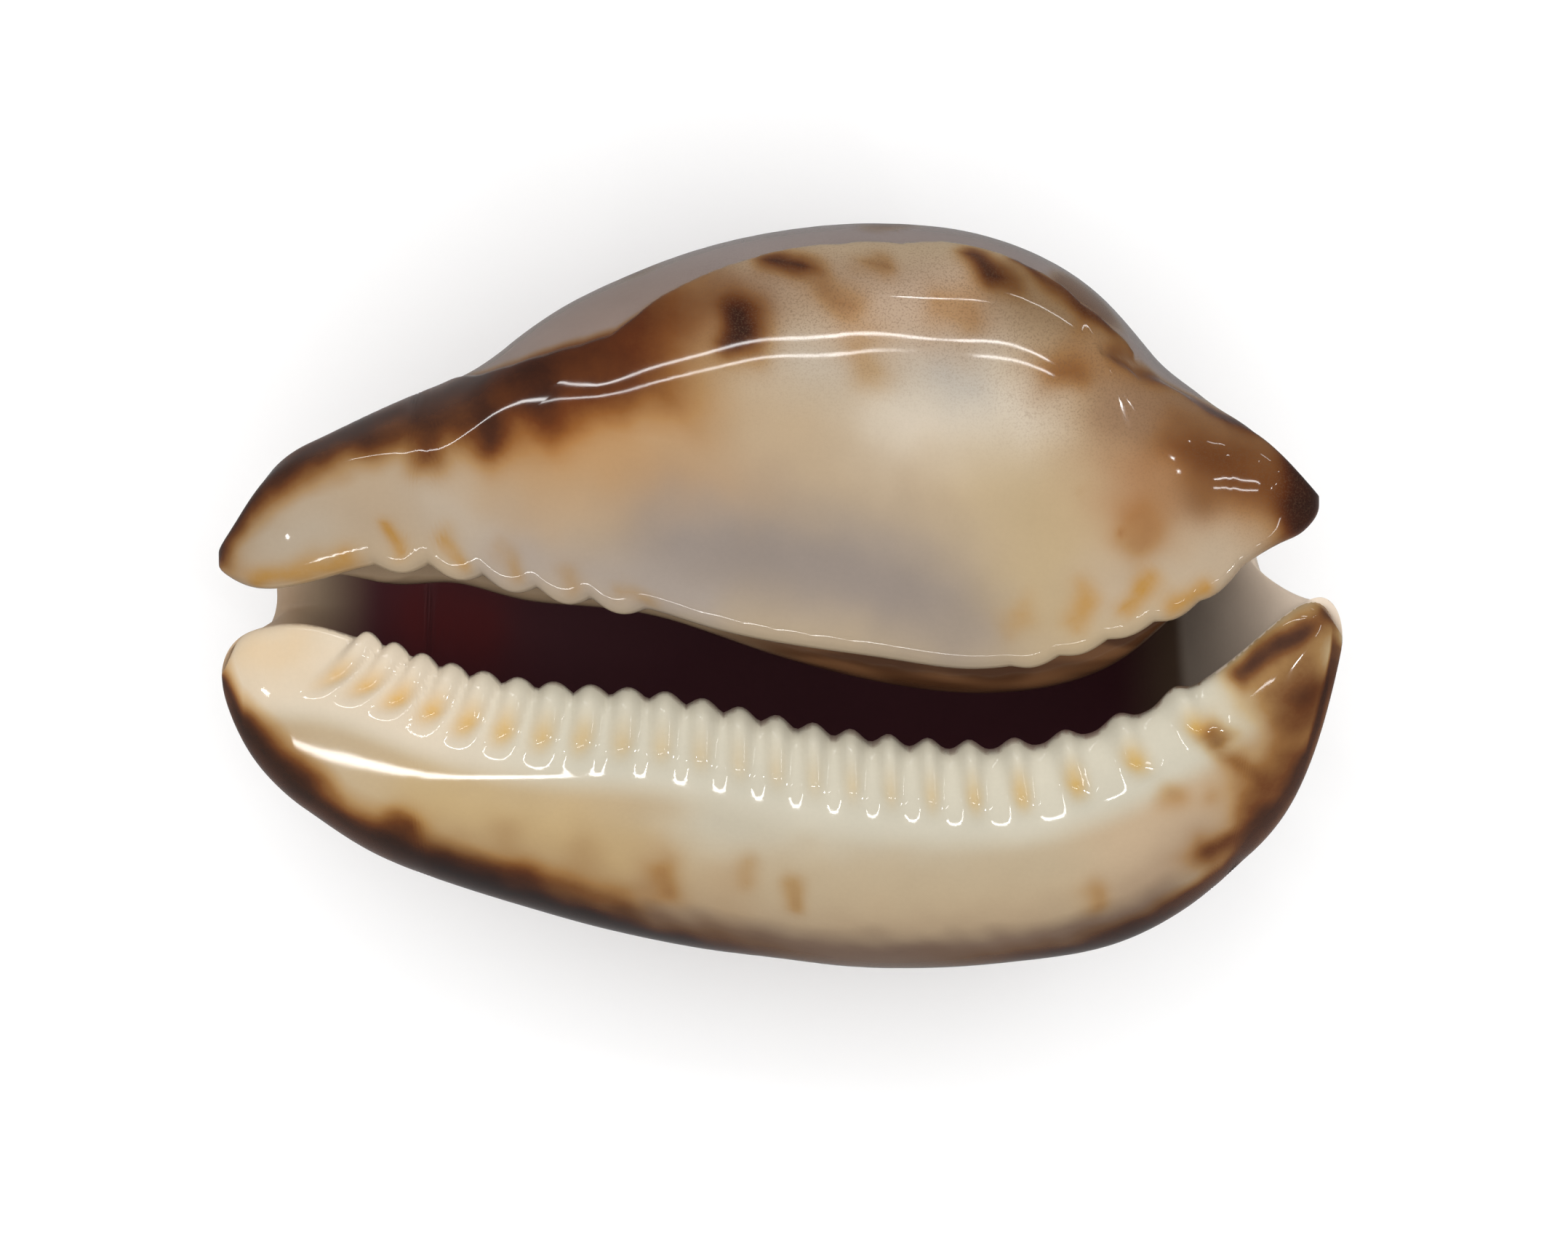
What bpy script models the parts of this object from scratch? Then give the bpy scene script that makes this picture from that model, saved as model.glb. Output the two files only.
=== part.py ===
"""A cowry shell lying on its back, mouth up, on a small flat spot.

The shell is one thick sheet rolled round its long axis and open along the mouth. It is drawn in its own frame, in
millimetres: X runs along the shell, from the front canal (-X) to the spire end (+X), +Y is the columellar side, -Y is
the side of the toothed outer lip, and Z is up, with the base of the shell facing up at height 0.

Each cross-section is a chain of quarter arcs between key points. The outer chain runs from the outer lip's edge over
its crest, round the margin, the back and the columellar side, over the columellar lip and down to the roll of the
whorl inside. The inner chain goes back along the chamber's walls. The two chains pair up point by point, so the sheet
closes to a rounded rim at both ends, where the canals leave the shell.

The finished shell is then turned to the way it lies, and a flat spot is cut where it touches the surface.
"""

import math

import bmesh
import bpy
import numpy as np
from mathutils import Matrix, Vector

MM = 0.001

# The shell's measures, in millimetres.
LENGTH = 68.0
RIM_CLOSING = 4.6  # length over which the sheet closes at each end
FRONT_NOTCH = 3.2  # how far the front canal's floor stands back from the tips
REAR_NOTCH = 5.4  # the same for the canal at the spire end
TIP_ROUNDING = 0.4  # how far the lips' edges stand back from their tips
REAR_TIP_BACK = 1.6  # how far the columellar tip stands back from the outer lip's there
NOTCH_FADE = 16.0  # length over which the canals' floors come forward again
FLAT_SPOT_DEPTH = 0.5

# Where the canals' floors begin and end along the outer chain, from 0 at the outer lip's edge to 1 at the roll.
FRONT_FLOOR_BEGINS = (0.22, 0.47)
FRONT_FLOOR_ENDS = (0.52, 0.74)
REAR_FLOOR_BEGINS = (0.18, 0.5)
REAR_FLOOR_ENDS = (0.54, 0.74)
REAR_TIP_BEGINS = (0.45, 0.72)
ROUNDED_EDGE = 0.16

# Key points of a section that lie between others, as shares of the way from one to the other.
ROLL_TOP_ACROSS = 0.35  # from the columellar edge to the roll
ROLL_TOP_DOWN = 0.55
FOOT_ACROSS = 0.5  # from the roll to the columellar wall
SIDE_WALL_DOWN = 0.3  # from the roll's foot to the floor
LIP_WALL_DOWN = 0.38  # from the outer lip's edge to the floor
UNDER_LIP_ACROSS = 0.3  # from the outer lip's edge to its wall
UNDER_LIP_DOWN = 0.12  # from the outer lip's edge to the floor
LIP_FULLNESS = 2.2  # 2 for an ellipse, and more for a squarer shoulder

# Teeth of the outer lip: where some of the crests are along X, by their number from the front.
LIP_TEETH = 22
LIP_TOOTH_X = [(0, -24.9), (4, -17.9), (10, -4.7), (16, 8.9), (18, 14.1), (21, 23.75)]
LIP_TOOTH_HEIGHT = 0.5
LIP_TOOTH_RISE = 1.2  # length over which a tooth rises from the edge
LIP_TOOTH_SCALLOP = 0.75  # how far a tooth's end stands out over the mouth
LIP_SCALLOP_FADE = (0.4, 2.4)
LIP_TOOTH_LENGTH = 4.6
LIP_TOOTH_SLANT = [(-34, -0.9), (-25, -0.75), (-20, -0.5), (-8, -0.12), (8, 0.05), (17, 0.25), (24, 0.55),
                   (34, 0.8)]
RIDGE_SHARPNESS = 0.7  # under 1, a tooth is wider than the groove beside it

# Teeth of the columellar lip: (first crest, last crest, pitch, height) at the front and at the rear.
COLUMELLA_TEETH = [(-22.6, -9.6, 3.25, 0.6), (15.5, 27.1, 2.9, 0.3)]
COLUMELLA_TOOTH_LENGTH = 3.0
COLUMELLA_TOOTH_SLANT = -0.25
COLUMELLA_TOOTH_LIFT = 0.5  # how far a tooth rises, for each millimetre that it stands out

# The way it lies, in degrees: the roll lifts the columellar side, the pitch lifts the spire end.
REST_ROLL = 25.0
REST_PITCH = 5.0

# Steps along a section's arcs, and rings along the shell, before the mesh is simplified. Both chains have as many
# steps, which GRAIN multiplies.
OUTER_ARCS = (6, 4, 6, 6, 5, 4, 1, 2)
INNER_ARCS = (6, 4, 6, 6, 6, 6)
LIP_TOOTH_STEPS = 14  # steps from the outer lip's edge that its teeth stay within
COLUMELLA_EDGE_STEP = sum(OUTER_ARCS[:6])
COLUMELLA_TOOTH_STEPS = 5
GRAIN = 2
RING_STEP = 0.34
RING_CROWDING = 0.85  # 0 for even rings, 1 for rings as close at the ends as a cosine's
MERGE_DISTANCE = 0.004
CUT_TOLERANCE = 0.002
TRIANGLES = 9600

# Profiles along X: smooth curves through (x, value) points.
PROFILES = {
    # The outer lip's toothed edge, its crest outside the teeth, and the margin outside that.
    "lip_edge_y": [(-34, -1.7), (-33, 0.7), (-31, 1.8), (-28, 2.3), (-24.9, 1.5), (-19.8, -0.5), (-13.5, -1.8),
                   (-6.9, -2.5), (0, -4.2), (6.3, -5.4), (11.5, -5.8), (17.2, -5.1), (20.4, -4.0), (23.75, -2.3),
                   (27.1, -0.1), (30.2, 2.4), (32.8, 3.6), (34, 0.7)],
    "lip_edge_z": [(-34, -3.8), (-31, -3.2), (-27, -2.2), (-15, -1.7), (15, -1.7), (27, -2.4), (31, -3.4),
                   (34, -4.2)],
    "lip_crest_out": [(-34, 0.6), (-31, 3.4), (-24, 4.2), (20, 4.2), (27, 3.8), (34, 1.0)],
    "lip_crest_z": [(-34, -2.6), (-31, -1.6), (-24, -0.5), (-8, 0.0), (10, 0.0), (22, -0.4), (30, -1.6),
                    (34, -3.4)],
    "lip_margin_y": [(-34, -7.2), (-32.3, -9.3), (-30.5, -10.5), (-28.8, -11.8), (-25.2, -14.6), (-20, -17.2),
                     (-14.7, -19.2), (-7.7, -21.3), (0, -22.6), (6.4, -23.1), (11.7, -22.8), (17, -22.1),
                     (20.5, -21.3), (24, -19.5), (27.5, -16.9), (29.3, -15.3), (31, -13.7), (32.8, -11.8),
                     (34, -7.4)],
    "lip_margin_z": [(-34, -4.8), (-20, -8.5), (0, -9.5), (20, -8.5), (34, -5.4)],
    # The middle of the back.
    "back_y": [(-34, 2.2), (-28, 1.0), (-18, -1.0), (4, -0.5), (18, 0.4), (28, 3.4), (34, 5.4)],
    "back_z": [(-34, -8.4), (-31, -10.8), (-28, -13.0), (-24, -16.6), (-20, -20.6), (-15, -25.2), (-10, -29.6),
               (0, -34.2), (6, -35.0), (14, -33.8), (20, -29.8), (25, -23.4), (28, -18.6), (31, -13.6),
               (34, -9.4)],
    # The margin, the crest and the edge of the columellar side.
    "side_y": [(-34, 8.3), (-32.8, 11.0), (-31, 12.4), (-28.8, 13.1), (-25.2, 14.2), (-21.7, 15.2), (-15, 18.2),
               (-10, 20.4), (-5, 22.0), (0, 22.9), (6, 23.2), (12, 22.6), (17, 21.0), (20, 19.1), (24, 15.9),
               (27.5, 14.1), (31, 13.5), (33, 12.9), (34, 11.6)],
    "side_z": [(-34, -4.8), (-20, -8.5), (0, -11.5), (12, -11.5), (20, -9.5), (34, -5.4)],
    "side_crest_in": [(-34, 0.6), (-31, 2.6), (-24, 3.4), (0, 4.4), (20, 3.6), (28, 2.6), (34, 1.0)],
    "side_crest_z": [(-34, -2.8), (-31, -1.8), (-24, -0.6), (-8, 0.0), (10, 0.0), (22, -0.4), (30, -2.0),
                     (34, -4.0)],
    "side_edge_y": [(-34, 5.8), (-33.2, 4.9), (-32, 4.5), (-29.6, 4.9), (-26.8, 6.0), (-22.7, 7.1), (-18.9, 6.6),
                    (-12.5, 5.1), (-7.5, 4.0), (-4.8, 3.1), (1.1, 1.7), (5.6, 1.0), (11.0, 0.2), (16.8, 1.05),
                    (21.3, 2.7), (25.4, 4.25), (28.4, 6.3), (31.0, 7.7), (33, 8.6), (34, 9.2)],
    "side_edge_z": [(-34, -4.6), (-31, -3.6), (-27, -2.3), (-15, -1.6), (15, -1.6), (27, -2.6), (31, -3.8),
                    (34, -5.0)],
    # The roll of the whorl inside, below the columellar lip, and its foot in the chamber.
    "roll_y": [(-34, 5.3), (-33.2, 4.8), (-31, 4.6), (-27, 5.2), (-23, 4.4), (-19.7, 4.4), (-16, 3.2), (-12.3, 2.6),
               (-7.5, 1.7), (-1.6, -0.7), (5.5, -3.1), (10.1, -3.9), (13.5, -3.9), (17.5, -3.0), (21, -1.0),
               (24, 2.0), (27, 4.8), (30, 6.8), (34, 8.7)],
    "roll_z": [(-34, -5.0), (-31, -4.6), (-26, -4.2), (-16, -5.0), (0, -6.6), (14, -6.8), (24, -5.2), (30, -4.8),
               (34, -5.6)],
    "foot_z": [(-34, -5.6), (-30, -5.6), (-25, -7.0), (-18, -9.5), (-8, -12.0), (4, -14.0), (12, -17.5), (19, -18.5),
               (25, -13.5), (30, -7.2), (34, -6.4)],
    # The chamber's two walls and its floor, which is the floor of the canals at the ends.
    "lip_wall_y": [(-34, 3.2), (-31, 1.8), (-28, -0.4), (-24, -5.4), (-18, -11.0), (-8, -16.4), (4, -18.6),
                   (13, -18.4), (20, -15.8), (25, -10.4), (28, -4.4), (31, 2.8), (34, 7.0)],
    "side_wall_y": [(-34, 5.2), (-31, 6.0), (-28, 7.4), (-24, 9.2), (-20, 11.8), (-12, 15.6), (-4, 18.2),
                    (4, 19.0), (11, 17.8), (17, 14.6), (22, 10.8), (26, 8.8), (30, 8.2), (34, 8.8)],
    "floor_z": [(-34, -6.8), (-31, -7.2), (-28, -9.4), (-24, -13.4), (-20, -17.2), (-10, -25.2), (0, -31.0),
                (6, -32.2), (14, -30.4), (20, -25.4), (25, -18.4), (28, -13.4), (31, -8.8), (34, -7.2)],
}


def smooth_curve(points):
    """A natural cubic spline through (x, value) points, as a function of x."""
    x, y = np.array(points, float).T
    step = np.diff(x)
    slope = np.diff(y) / step
    matrix = np.eye(len(x))
    right = np.zeros(len(x))
    for i in range(1, len(x) - 1):
        matrix[i, i - 1 : i + 2] = step[i - 1], 2 * (step[i - 1] + step[i]), step[i]
        right[i] = 6 * (slope[i] - slope[i - 1])
    bend = np.linalg.solve(matrix, right)

    def value(at):
        i = np.clip(np.searchsorted(x, at) - 1, 0, len(step) - 1)
        before = at - x[i]
        after = x[i + 1] - at
        h = step[i]
        return (
            (bend[i] * after**3 + bend[i + 1] * before**3) / (6 * h)
            + (y[i] / h - bend[i] * h / 6) * after
            + (y[i + 1] / h - bend[i + 1] * h / 6) * before
        )

    return value


def end_angle(x):
    """The angle whose cosine gives x, so that a curve over it can end round at both ends."""
    return np.arccos(np.clip(-2 * np.asarray(x, float) / LENGTH, -1, 1))


def profile(points):
    curve = smooth_curve([(float(end_angle(x)), value) for x, value in points])
    return lambda x: curve(end_angle(x))


def smoothstep(low, high, x):
    t = np.clip((x - low) / (high - low), 0, 1)
    return t * t * (3 - 2 * t)


def part_way(first, second, share):
    return first + (second - first) * share


def quarter(start, end, level, count, power=2.0):
    """Points from start towards end on a quarter ellipse, which leaves start level or upright."""
    turn = np.linspace(0, math.pi / 2, count * GRAIN, endpoint=False)
    away = np.sin(turn) ** (2 / power)
    along = 1 - np.cos(turn) ** (2 / power)
    first, second = (away, along) if level else (along, away)
    y = start[0] + (end[0] - start[0]) * first
    z = start[1] + (end[1] - start[1]) * second
    return np.stack([y, z], axis=1)


def section(at):
    """The outer and the inner chain of a cross-section, from the profiles' values there."""
    lip_edge = (at["lip_edge_y"], at["lip_edge_z"])
    lip_crest = (at["lip_edge_y"] - at["lip_crest_out"], at["lip_crest_z"])
    lip_margin = (at["lip_margin_y"], at["lip_margin_z"])
    back = (at["back_y"], at["back_z"])
    side = (at["side_y"], at["side_z"])
    side_crest = (at["side_edge_y"] + at["side_crest_in"], at["side_crest_z"])
    side_edge = (at["side_edge_y"], at["side_edge_z"])
    roll = (at["roll_y"], at["roll_z"])
    roll_top = (
        part_way(at["side_edge_y"], at["roll_y"], ROLL_TOP_ACROSS),
        part_way(at["side_edge_z"], at["roll_z"], ROLL_TOP_DOWN),
    )
    outer = [
        quarter(lip_edge, lip_crest, False, OUTER_ARCS[0]),
        quarter(lip_crest, lip_margin, True, OUTER_ARCS[1], LIP_FULLNESS),
        quarter(lip_margin, back, False, OUTER_ARCS[2]),
        quarter(back, side, True, OUTER_ARCS[3]),
        quarter(side, side_crest, False, OUTER_ARCS[4]),
        quarter(side_crest, side_edge, True, OUTER_ARCS[5]),
        quarter(side_edge, roll_top, False, OUTER_ARCS[6]),
        quarter(roll_top, roll, True, OUTER_ARCS[7]),
        [roll],
    ]

    floor = (at["back_y"], at["floor_z"])
    foot = (part_way(at["roll_y"], at["side_wall_y"], FOOT_ACROSS), at["foot_z"])
    side_wall = (at["side_wall_y"], part_way(at["foot_z"], at["floor_z"], SIDE_WALL_DOWN))
    lip_wall = (at["lip_wall_y"], part_way(at["lip_edge_z"], at["floor_z"], LIP_WALL_DOWN))
    under_lip = (
        part_way(at["lip_edge_y"], at["lip_wall_y"], UNDER_LIP_ACROSS),
        part_way(at["lip_edge_z"], at["floor_z"], UNDER_LIP_DOWN),
    )
    inner = [
        quarter(lip_edge, under_lip, False, INNER_ARCS[0]),
        quarter(under_lip, lip_wall, True, INNER_ARCS[1]),
        quarter(lip_wall, floor, False, INNER_ARCS[2]),
        quarter(floor, side_wall, True, INNER_ARCS[3]),
        quarter(side_wall, foot, False, INNER_ARCS[4]),
        quarter(foot, roll, True, INNER_ARCS[5]),
        [roll],
    ]
    return np.concatenate(outer), np.concatenate(inner)


def ring_places():
    """Where the rings are along X: closer at the ends, where the rims close."""
    even = np.linspace(-1, 1, int(LENGTH / RING_STEP))
    crowded = np.sin(even * math.pi / 2)
    return LENGTH / 2 * part_way(even, crowded, RING_CROWDING)


def close_ends(x, outer, inner):
    """Draws the two chains of each ring together towards the ends, and sets the canals' floors back."""
    to_end = LENGTH / 2 - np.abs(x)
    rest = 1 - np.clip(to_end / RIM_CLOSING, 0, 1)
    thick = np.sqrt(np.clip(1 - rest**2, 0, 1))[:, None, None]
    middle = (outer + inner) / 2
    outer[:] = middle + (outer - middle) * thick
    inner[:] = middle + (inner - middle) * thick

    place = np.linspace(0, 1, outer.shape[1])
    front_floor = smoothstep(*FRONT_FLOOR_BEGINS, place) - smoothstep(*FRONT_FLOOR_ENDS, place)
    rear_floor = smoothstep(*REAR_FLOOR_BEGINS, place) - smoothstep(*REAR_FLOOR_ENDS, place)
    rear_tip = smoothstep(*REAR_TIP_BEGINS, place)
    edges = 1 - smoothstep(0, ROUNDED_EDGE, place) + smoothstep(1 - ROUNDED_EDGE, 1, place)
    front_back = front_floor * FRONT_NOTCH + edges * TIP_ROUNDING
    rear_back = rear_floor * REAR_NOTCH + rear_tip * REAR_TIP_BACK + edges * TIP_ROUNDING
    fade = np.clip(1 - to_end / NOTCH_FADE, 0, 1) ** 2
    front = np.where(x < 0, fade, 0)[:, None] * front_back
    rear = np.where(x > 0, fade, 0)[:, None] * rear_back
    return x[:, None] + front - rear


def ridge(phase):
    """A rounded ridge with a narrower groove, from 0 in the groove to 1 on the crest."""
    return (0.5 + 0.5 * np.cos(2 * math.pi * phase)) ** RIDGE_SHARPNESS


def raise_lip_teeth(x, outer, inner):
    """Raises the outer lip's teeth, whose ends stand out over the mouth as scallops."""
    count = np.linspace(-0.5, LIP_TEETH - 0.5, 20 * LIP_TEETH + 1)
    crest_x = smooth_curve(LIP_TOOTH_X)(count)
    slant = profile(LIP_TOOTH_SLANT)(x)
    from_edge = np.linalg.norm(outer - outer[:, :1], axis=2)
    near = np.arange(outer.shape[1]) < LIP_TOOTH_STEPS * GRAIN
    start_x = x[:, None] - slant[:, None] * from_edge
    phase = np.interp(start_x, crest_x, count, left=-0.5, right=LIP_TEETH - 0.5)
    height = ridge(phase) * (1 - smoothstep(LIP_TOOTH_LENGTH / 2, LIP_TOOTH_LENGTH, from_edge)) * near
    scallop = LIP_TOOTH_SCALLOP * height * (1 - smoothstep(*LIP_SCALLOP_FADE, from_edge))
    outer[:, :, 1] += LIP_TOOTH_HEIGHT * height * smoothstep(0, LIP_TOOTH_RISE, from_edge)
    outer[:, :, 0] += scallop
    under_lip = 1 - smoothstep(0, INNER_ARCS[0] * GRAIN, np.arange(inner.shape[1]))
    inner[:, :, 0] += scallop[:, :1] * under_lip


def raise_columella_teeth(x, outer):
    """Raises the short teeth of the columellar lip."""
    edge = COLUMELLA_EDGE_STEP * GRAIN
    from_edge = np.linalg.norm(outer - outer[:, edge : edge + 1], axis=2)
    near = np.abs(np.arange(outer.shape[1]) - edge) < COLUMELLA_TOOTH_STEPS * GRAIN
    start_x = x[:, None] - COLUMELLA_TOOTH_SLANT * from_edge
    fade = 1 - smoothstep(0.4 * COLUMELLA_TOOTH_LENGTH, COLUMELLA_TOOTH_LENGTH, from_edge)
    for first, last, pitch, top in COLUMELLA_TEETH:
        inside = (start_x > first - pitch / 2) & (start_x < last + pitch / 2)
        height = top * ridge((start_x - first) / pitch) * inside * near * fade
        outer[:, :, 0] -= height
        outer[:, :, 1] += COLUMELLA_TOOTH_LIFT * height


def shell_grid():
    """Points of the whole shell, as rings that run out along the outer chain and back along the inner one."""
    x = ring_places()
    curves = {name: profile(points)(x) for name, points in PROFILES.items()}
    chains = [section({name: values[i] for name, values in curves.items()}) for i in range(len(x))]
    outer = np.array([chain[0] for chain in chains])
    inner = np.array([chain[1] for chain in chains])
    raise_lip_teeth(x, outer, inner)
    raise_columella_teeth(x, outer)
    x_grid = close_ends(x, outer, inner)
    outer = np.concatenate([x_grid[:, :, None], outer], axis=2)
    inner = np.concatenate([x_grid[:, :, None], inner], axis=2)
    return np.concatenate([outer, inner[:, -2:0:-1]], axis=1)


def skin(points):
    """A closed mesh through a grid of rings, whose end rings are folded flat."""
    mesh = bmesh.new()
    rings = [[mesh.verts.new(Vector(point) * MM) for point in ring] for ring in points]
    for ring, following in zip(rings, rings[1:]):
        for i in range(len(ring)):
            j = (i + 1) % len(ring)
            mesh.faces.new((ring[i], ring[j], following[j], following[i]))
    bmesh.ops.remove_doubles(mesh, verts=mesh.verts, dist=MERGE_DISTANCE * MM)
    bmesh.ops.recalc_face_normals(mesh, faces=mesh.faces)
    return mesh


def simplified(name, mesh):
    """The mesh with fewer triangles, which stay small only where it is curved."""
    data = bpy.data.meshes.new(name)
    bmesh.ops.triangulate(mesh, faces=mesh.faces)
    count = len(mesh.faces)
    mesh.to_mesh(data)
    mesh.free()
    obj = bpy.data.objects.new(name, data)
    bpy.context.scene.collection.objects.link(obj)
    if count > TRIANGLES:
        decimate = obj.modifiers.new("simplify", "DECIMATE")
        decimate.ratio = TRIANGLES / count
        decimate.use_collapse_triangulate = True
    return obj


def lay_down(obj):
    """Turns the shell to the way it lies, cuts the flat spot and puts its middle at the origin."""
    graph = bpy.context.evaluated_depsgraph_get()
    mesh = bmesh.new()
    mesh.from_mesh(obj.evaluated_get(graph).to_mesh())
    obj.modifiers.clear()
    roll = Matrix.Rotation(math.radians(REST_ROLL), 3, "X")
    pitch = Matrix.Rotation(math.radians(-REST_PITCH), 3, "Y")
    bmesh.ops.rotate(mesh, matrix=pitch @ roll, verts=mesh.verts)
    low = min(vert.co.z for vert in mesh.verts)
    cut_z = low + FLAT_SPOT_DEPTH * MM
    everything = mesh.verts[:] + mesh.edges[:] + mesh.faces[:]
    cut = bmesh.ops.bisect_plane(
        mesh,
        geom=everything,
        dist=CUT_TOLERANCE * MM,
        plane_co=(0, 0, cut_z),
        plane_no=(0, 0, -1),
        clear_outer=True,
    )
    rim = [item for item in cut["geom_cut"] if isinstance(item, bmesh.types.BMEdge)]
    bmesh.ops.holes_fill(mesh, edges=rim, sides=0)
    rim_points = {vert for edge in rim for vert in edge.verts}
    low_corner = [min(vert.co[axis] for vert in rim_points) for axis in range(2)]
    high_corner = [max(vert.co[axis] for vert in rim_points) for axis in range(2)]
    middle = Vector([(low + high) / 2 for low, high in zip(low_corner, high_corner)] + [cut_z])
    bmesh.ops.translate(mesh, vec=-middle, verts=mesh.verts)
    bmesh.ops.triangulate(mesh, faces=[face for face in mesh.faces if len(face.verts) > 4])
    mesh.to_mesh(obj.data)
    mesh.free()


def glossy_shell():
    material = bpy.data.materials.new("glossy shell")
    material.use_nodes = True
    shader = material.node_tree.nodes["Principled BSDF"]
    shader.inputs["Base Color"].default_value = (0.60, 0.44, 0.30, 1)
    shader.inputs["Roughness"].default_value = 0.12
    shader.inputs["Metallic"].default_value = 0.0
    return material


def main():
    for obj in list(bpy.data.objects):
        bpy.data.objects.remove(obj)
    shell = simplified("shell", skin(shell_grid()))
    lay_down(shell)
    shell.data.materials.append(glossy_shell())
    shell.data.shade_smooth()


main()
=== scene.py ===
"""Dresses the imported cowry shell: a fine skin over its solid, its glaze and markings, and a plain studio.

The skin is modelled in the shell's own frame, in millimetres: X runs along the shell, from the front canal
(-X) to the spire end (+X), +Y is the columellar side, -Y the side of the toothed outer lip, and Z is up, with
the shell's base facing up at height 0. It is then laid down on its back, the way the solid lies.

Round each cross-section, places are given as step numbers, which both sheets of the wall share. On the outer
sheet they run from 0 at the outer lip's edge, over its crest (6) and margin (10), the back (16), the
columellar margin (22) and crest (27), to the columellar edge (31) and the roll of the inner whorl (34).
"""

import logging
import math
from dataclasses import dataclass, field
from enum import Enum

import bmesh
import bpy
import numpy as np
from mathutils import Matrix, Vector


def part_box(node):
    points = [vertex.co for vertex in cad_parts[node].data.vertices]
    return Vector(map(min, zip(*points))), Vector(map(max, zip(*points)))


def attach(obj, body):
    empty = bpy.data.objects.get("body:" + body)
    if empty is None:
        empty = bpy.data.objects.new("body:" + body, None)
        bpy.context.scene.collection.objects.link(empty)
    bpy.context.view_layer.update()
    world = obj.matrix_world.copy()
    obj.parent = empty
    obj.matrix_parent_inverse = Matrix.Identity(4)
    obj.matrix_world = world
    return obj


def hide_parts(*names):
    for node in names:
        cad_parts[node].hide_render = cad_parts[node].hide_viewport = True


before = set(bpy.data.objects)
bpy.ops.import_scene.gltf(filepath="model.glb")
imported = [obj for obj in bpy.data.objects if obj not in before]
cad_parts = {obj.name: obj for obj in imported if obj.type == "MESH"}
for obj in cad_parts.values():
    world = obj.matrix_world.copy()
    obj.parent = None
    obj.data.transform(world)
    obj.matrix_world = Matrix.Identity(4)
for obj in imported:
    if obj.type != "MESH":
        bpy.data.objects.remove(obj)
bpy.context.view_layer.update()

LOG = logging.getLogger("cowry")
MM = 0.001
LENGTH = 68.0
TINY = 1e-9
FAR = 99.0
Array = np.ndarray
Span = tuple[float, float]
Points = tuple[tuple[float, float], ...]
Colour = tuple[float, float, float]


def smoothstep(low: float, high: float, x: Array) -> Array:
    """A smooth rise from 0 at low to 1 at high."""
    t = np.clip((x - low) / (high - low), 0, 1)
    return t * t * (3 - 2 * t)


def between(x: Array, *spans: Span) -> Array:
    """A product of smooth steps over spans, each of which rises, or falls where its span runs down."""
    return math.prod(smoothstep(*span, x) for span in spans)


def part_way(first: Array, second: Array, share: float) -> Array:
    """The value that lies a share of the way from first to second."""
    return first + (second - first) * share


def running(amounts: Array) -> Array:
    """Running totals along each row, from 0."""
    return np.pad(np.cumsum(amounts, axis=1), ((0, 0), (1, 0)))


def from_path(points: Array, path: list[Array] | Array) -> Array:
    """Each point's distance from a path of straight runs.

    Args:
        points: an array of (points, axes).
        path: the path's points in order, at least two.

    Returns:
        An array of distances.
    """
    away = np.full(len(points), np.inf)
    for start, end in zip(path, path[1:]):
        run = end - start
        share = np.clip((points - start) @ run / max(run @ run, TINY), 0, 1)
        away = np.minimum(away, np.linalg.norm(points - start - share[:, None] * run, axis=1))
    return away


def placed(name: str, data: bpy.types.ID) -> bpy.types.Object:
    """A new object in the scene."""
    thing = bpy.data.objects.new(name, data)
    bpy.context.scene.collection.objects.link(thing)
    return thing


def solidified(name: str, mesh: bmesh.types.BMesh, material: bpy.types.Material) -> bpy.types.Object:
    """Turns a working mesh into an object of one material, and frees it.

    Args:
        name: what to call the object.
        mesh: the working mesh.
        material: what the object is made of.

    Returns:
        The object.
    """
    data = bpy.data.meshes.new(name)
    mesh.to_mesh(data)
    mesh.free()
    data.materials.append(material)
    return placed(name, data)


@dataclass(frozen=True)
class SmoothCurve:
    """A natural cubic spline through (x, value) points."""

    points: Points

    def at(self, x: Array) -> Array:
        """The curve's values.

        Args:
            x: places to read the curve at.

        Returns:
            The values there.
        """
        knots, values = np.array(self.points, float).T
        step = np.diff(knots)
        slope = np.diff(values) / step
        matrix = np.eye(len(knots))
        right = np.zeros(len(knots))
        for i in range(1, len(knots) - 1):
            matrix[i, i - 1 : i + 2] = step[i - 1], 2 * (step[i - 1] + step[i]), step[i]
            right[i] = 6 * (slope[i] - slope[i - 1])
        bend = np.linalg.solve(matrix, right)
        i = np.clip(np.searchsorted(knots, x) - 1, 0, len(step) - 1)
        before = x - knots[i]
        after = knots[i + 1] - x
        h = step[i]
        return (
            (bend[i] * after**3 + bend[i + 1] * before**3) / (6 * h)
            + (values[i] / h - bend[i] * h / 6) * after
            + (values[i + 1] / h - bend[i + 1] * h / 6) * before
        )


@dataclass(frozen=True)
class Profile:
    """A smooth curve along the shell, which may end round at both ends."""

    points: Points

    def angle(self, x: Array) -> Array:
        """The angle whose cosine gives x."""
        return np.arccos(np.clip(-2 * np.asarray(x, float) / LENGTH, -1, 1))

    def at(self, x: Array) -> Array:
        """The profile's values at places along the shell."""
        over_angle = tuple((float(self.angle(place)), value) for place, value in self.points)
        return SmoothCurve(over_angle).at(self.angle(x))


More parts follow.
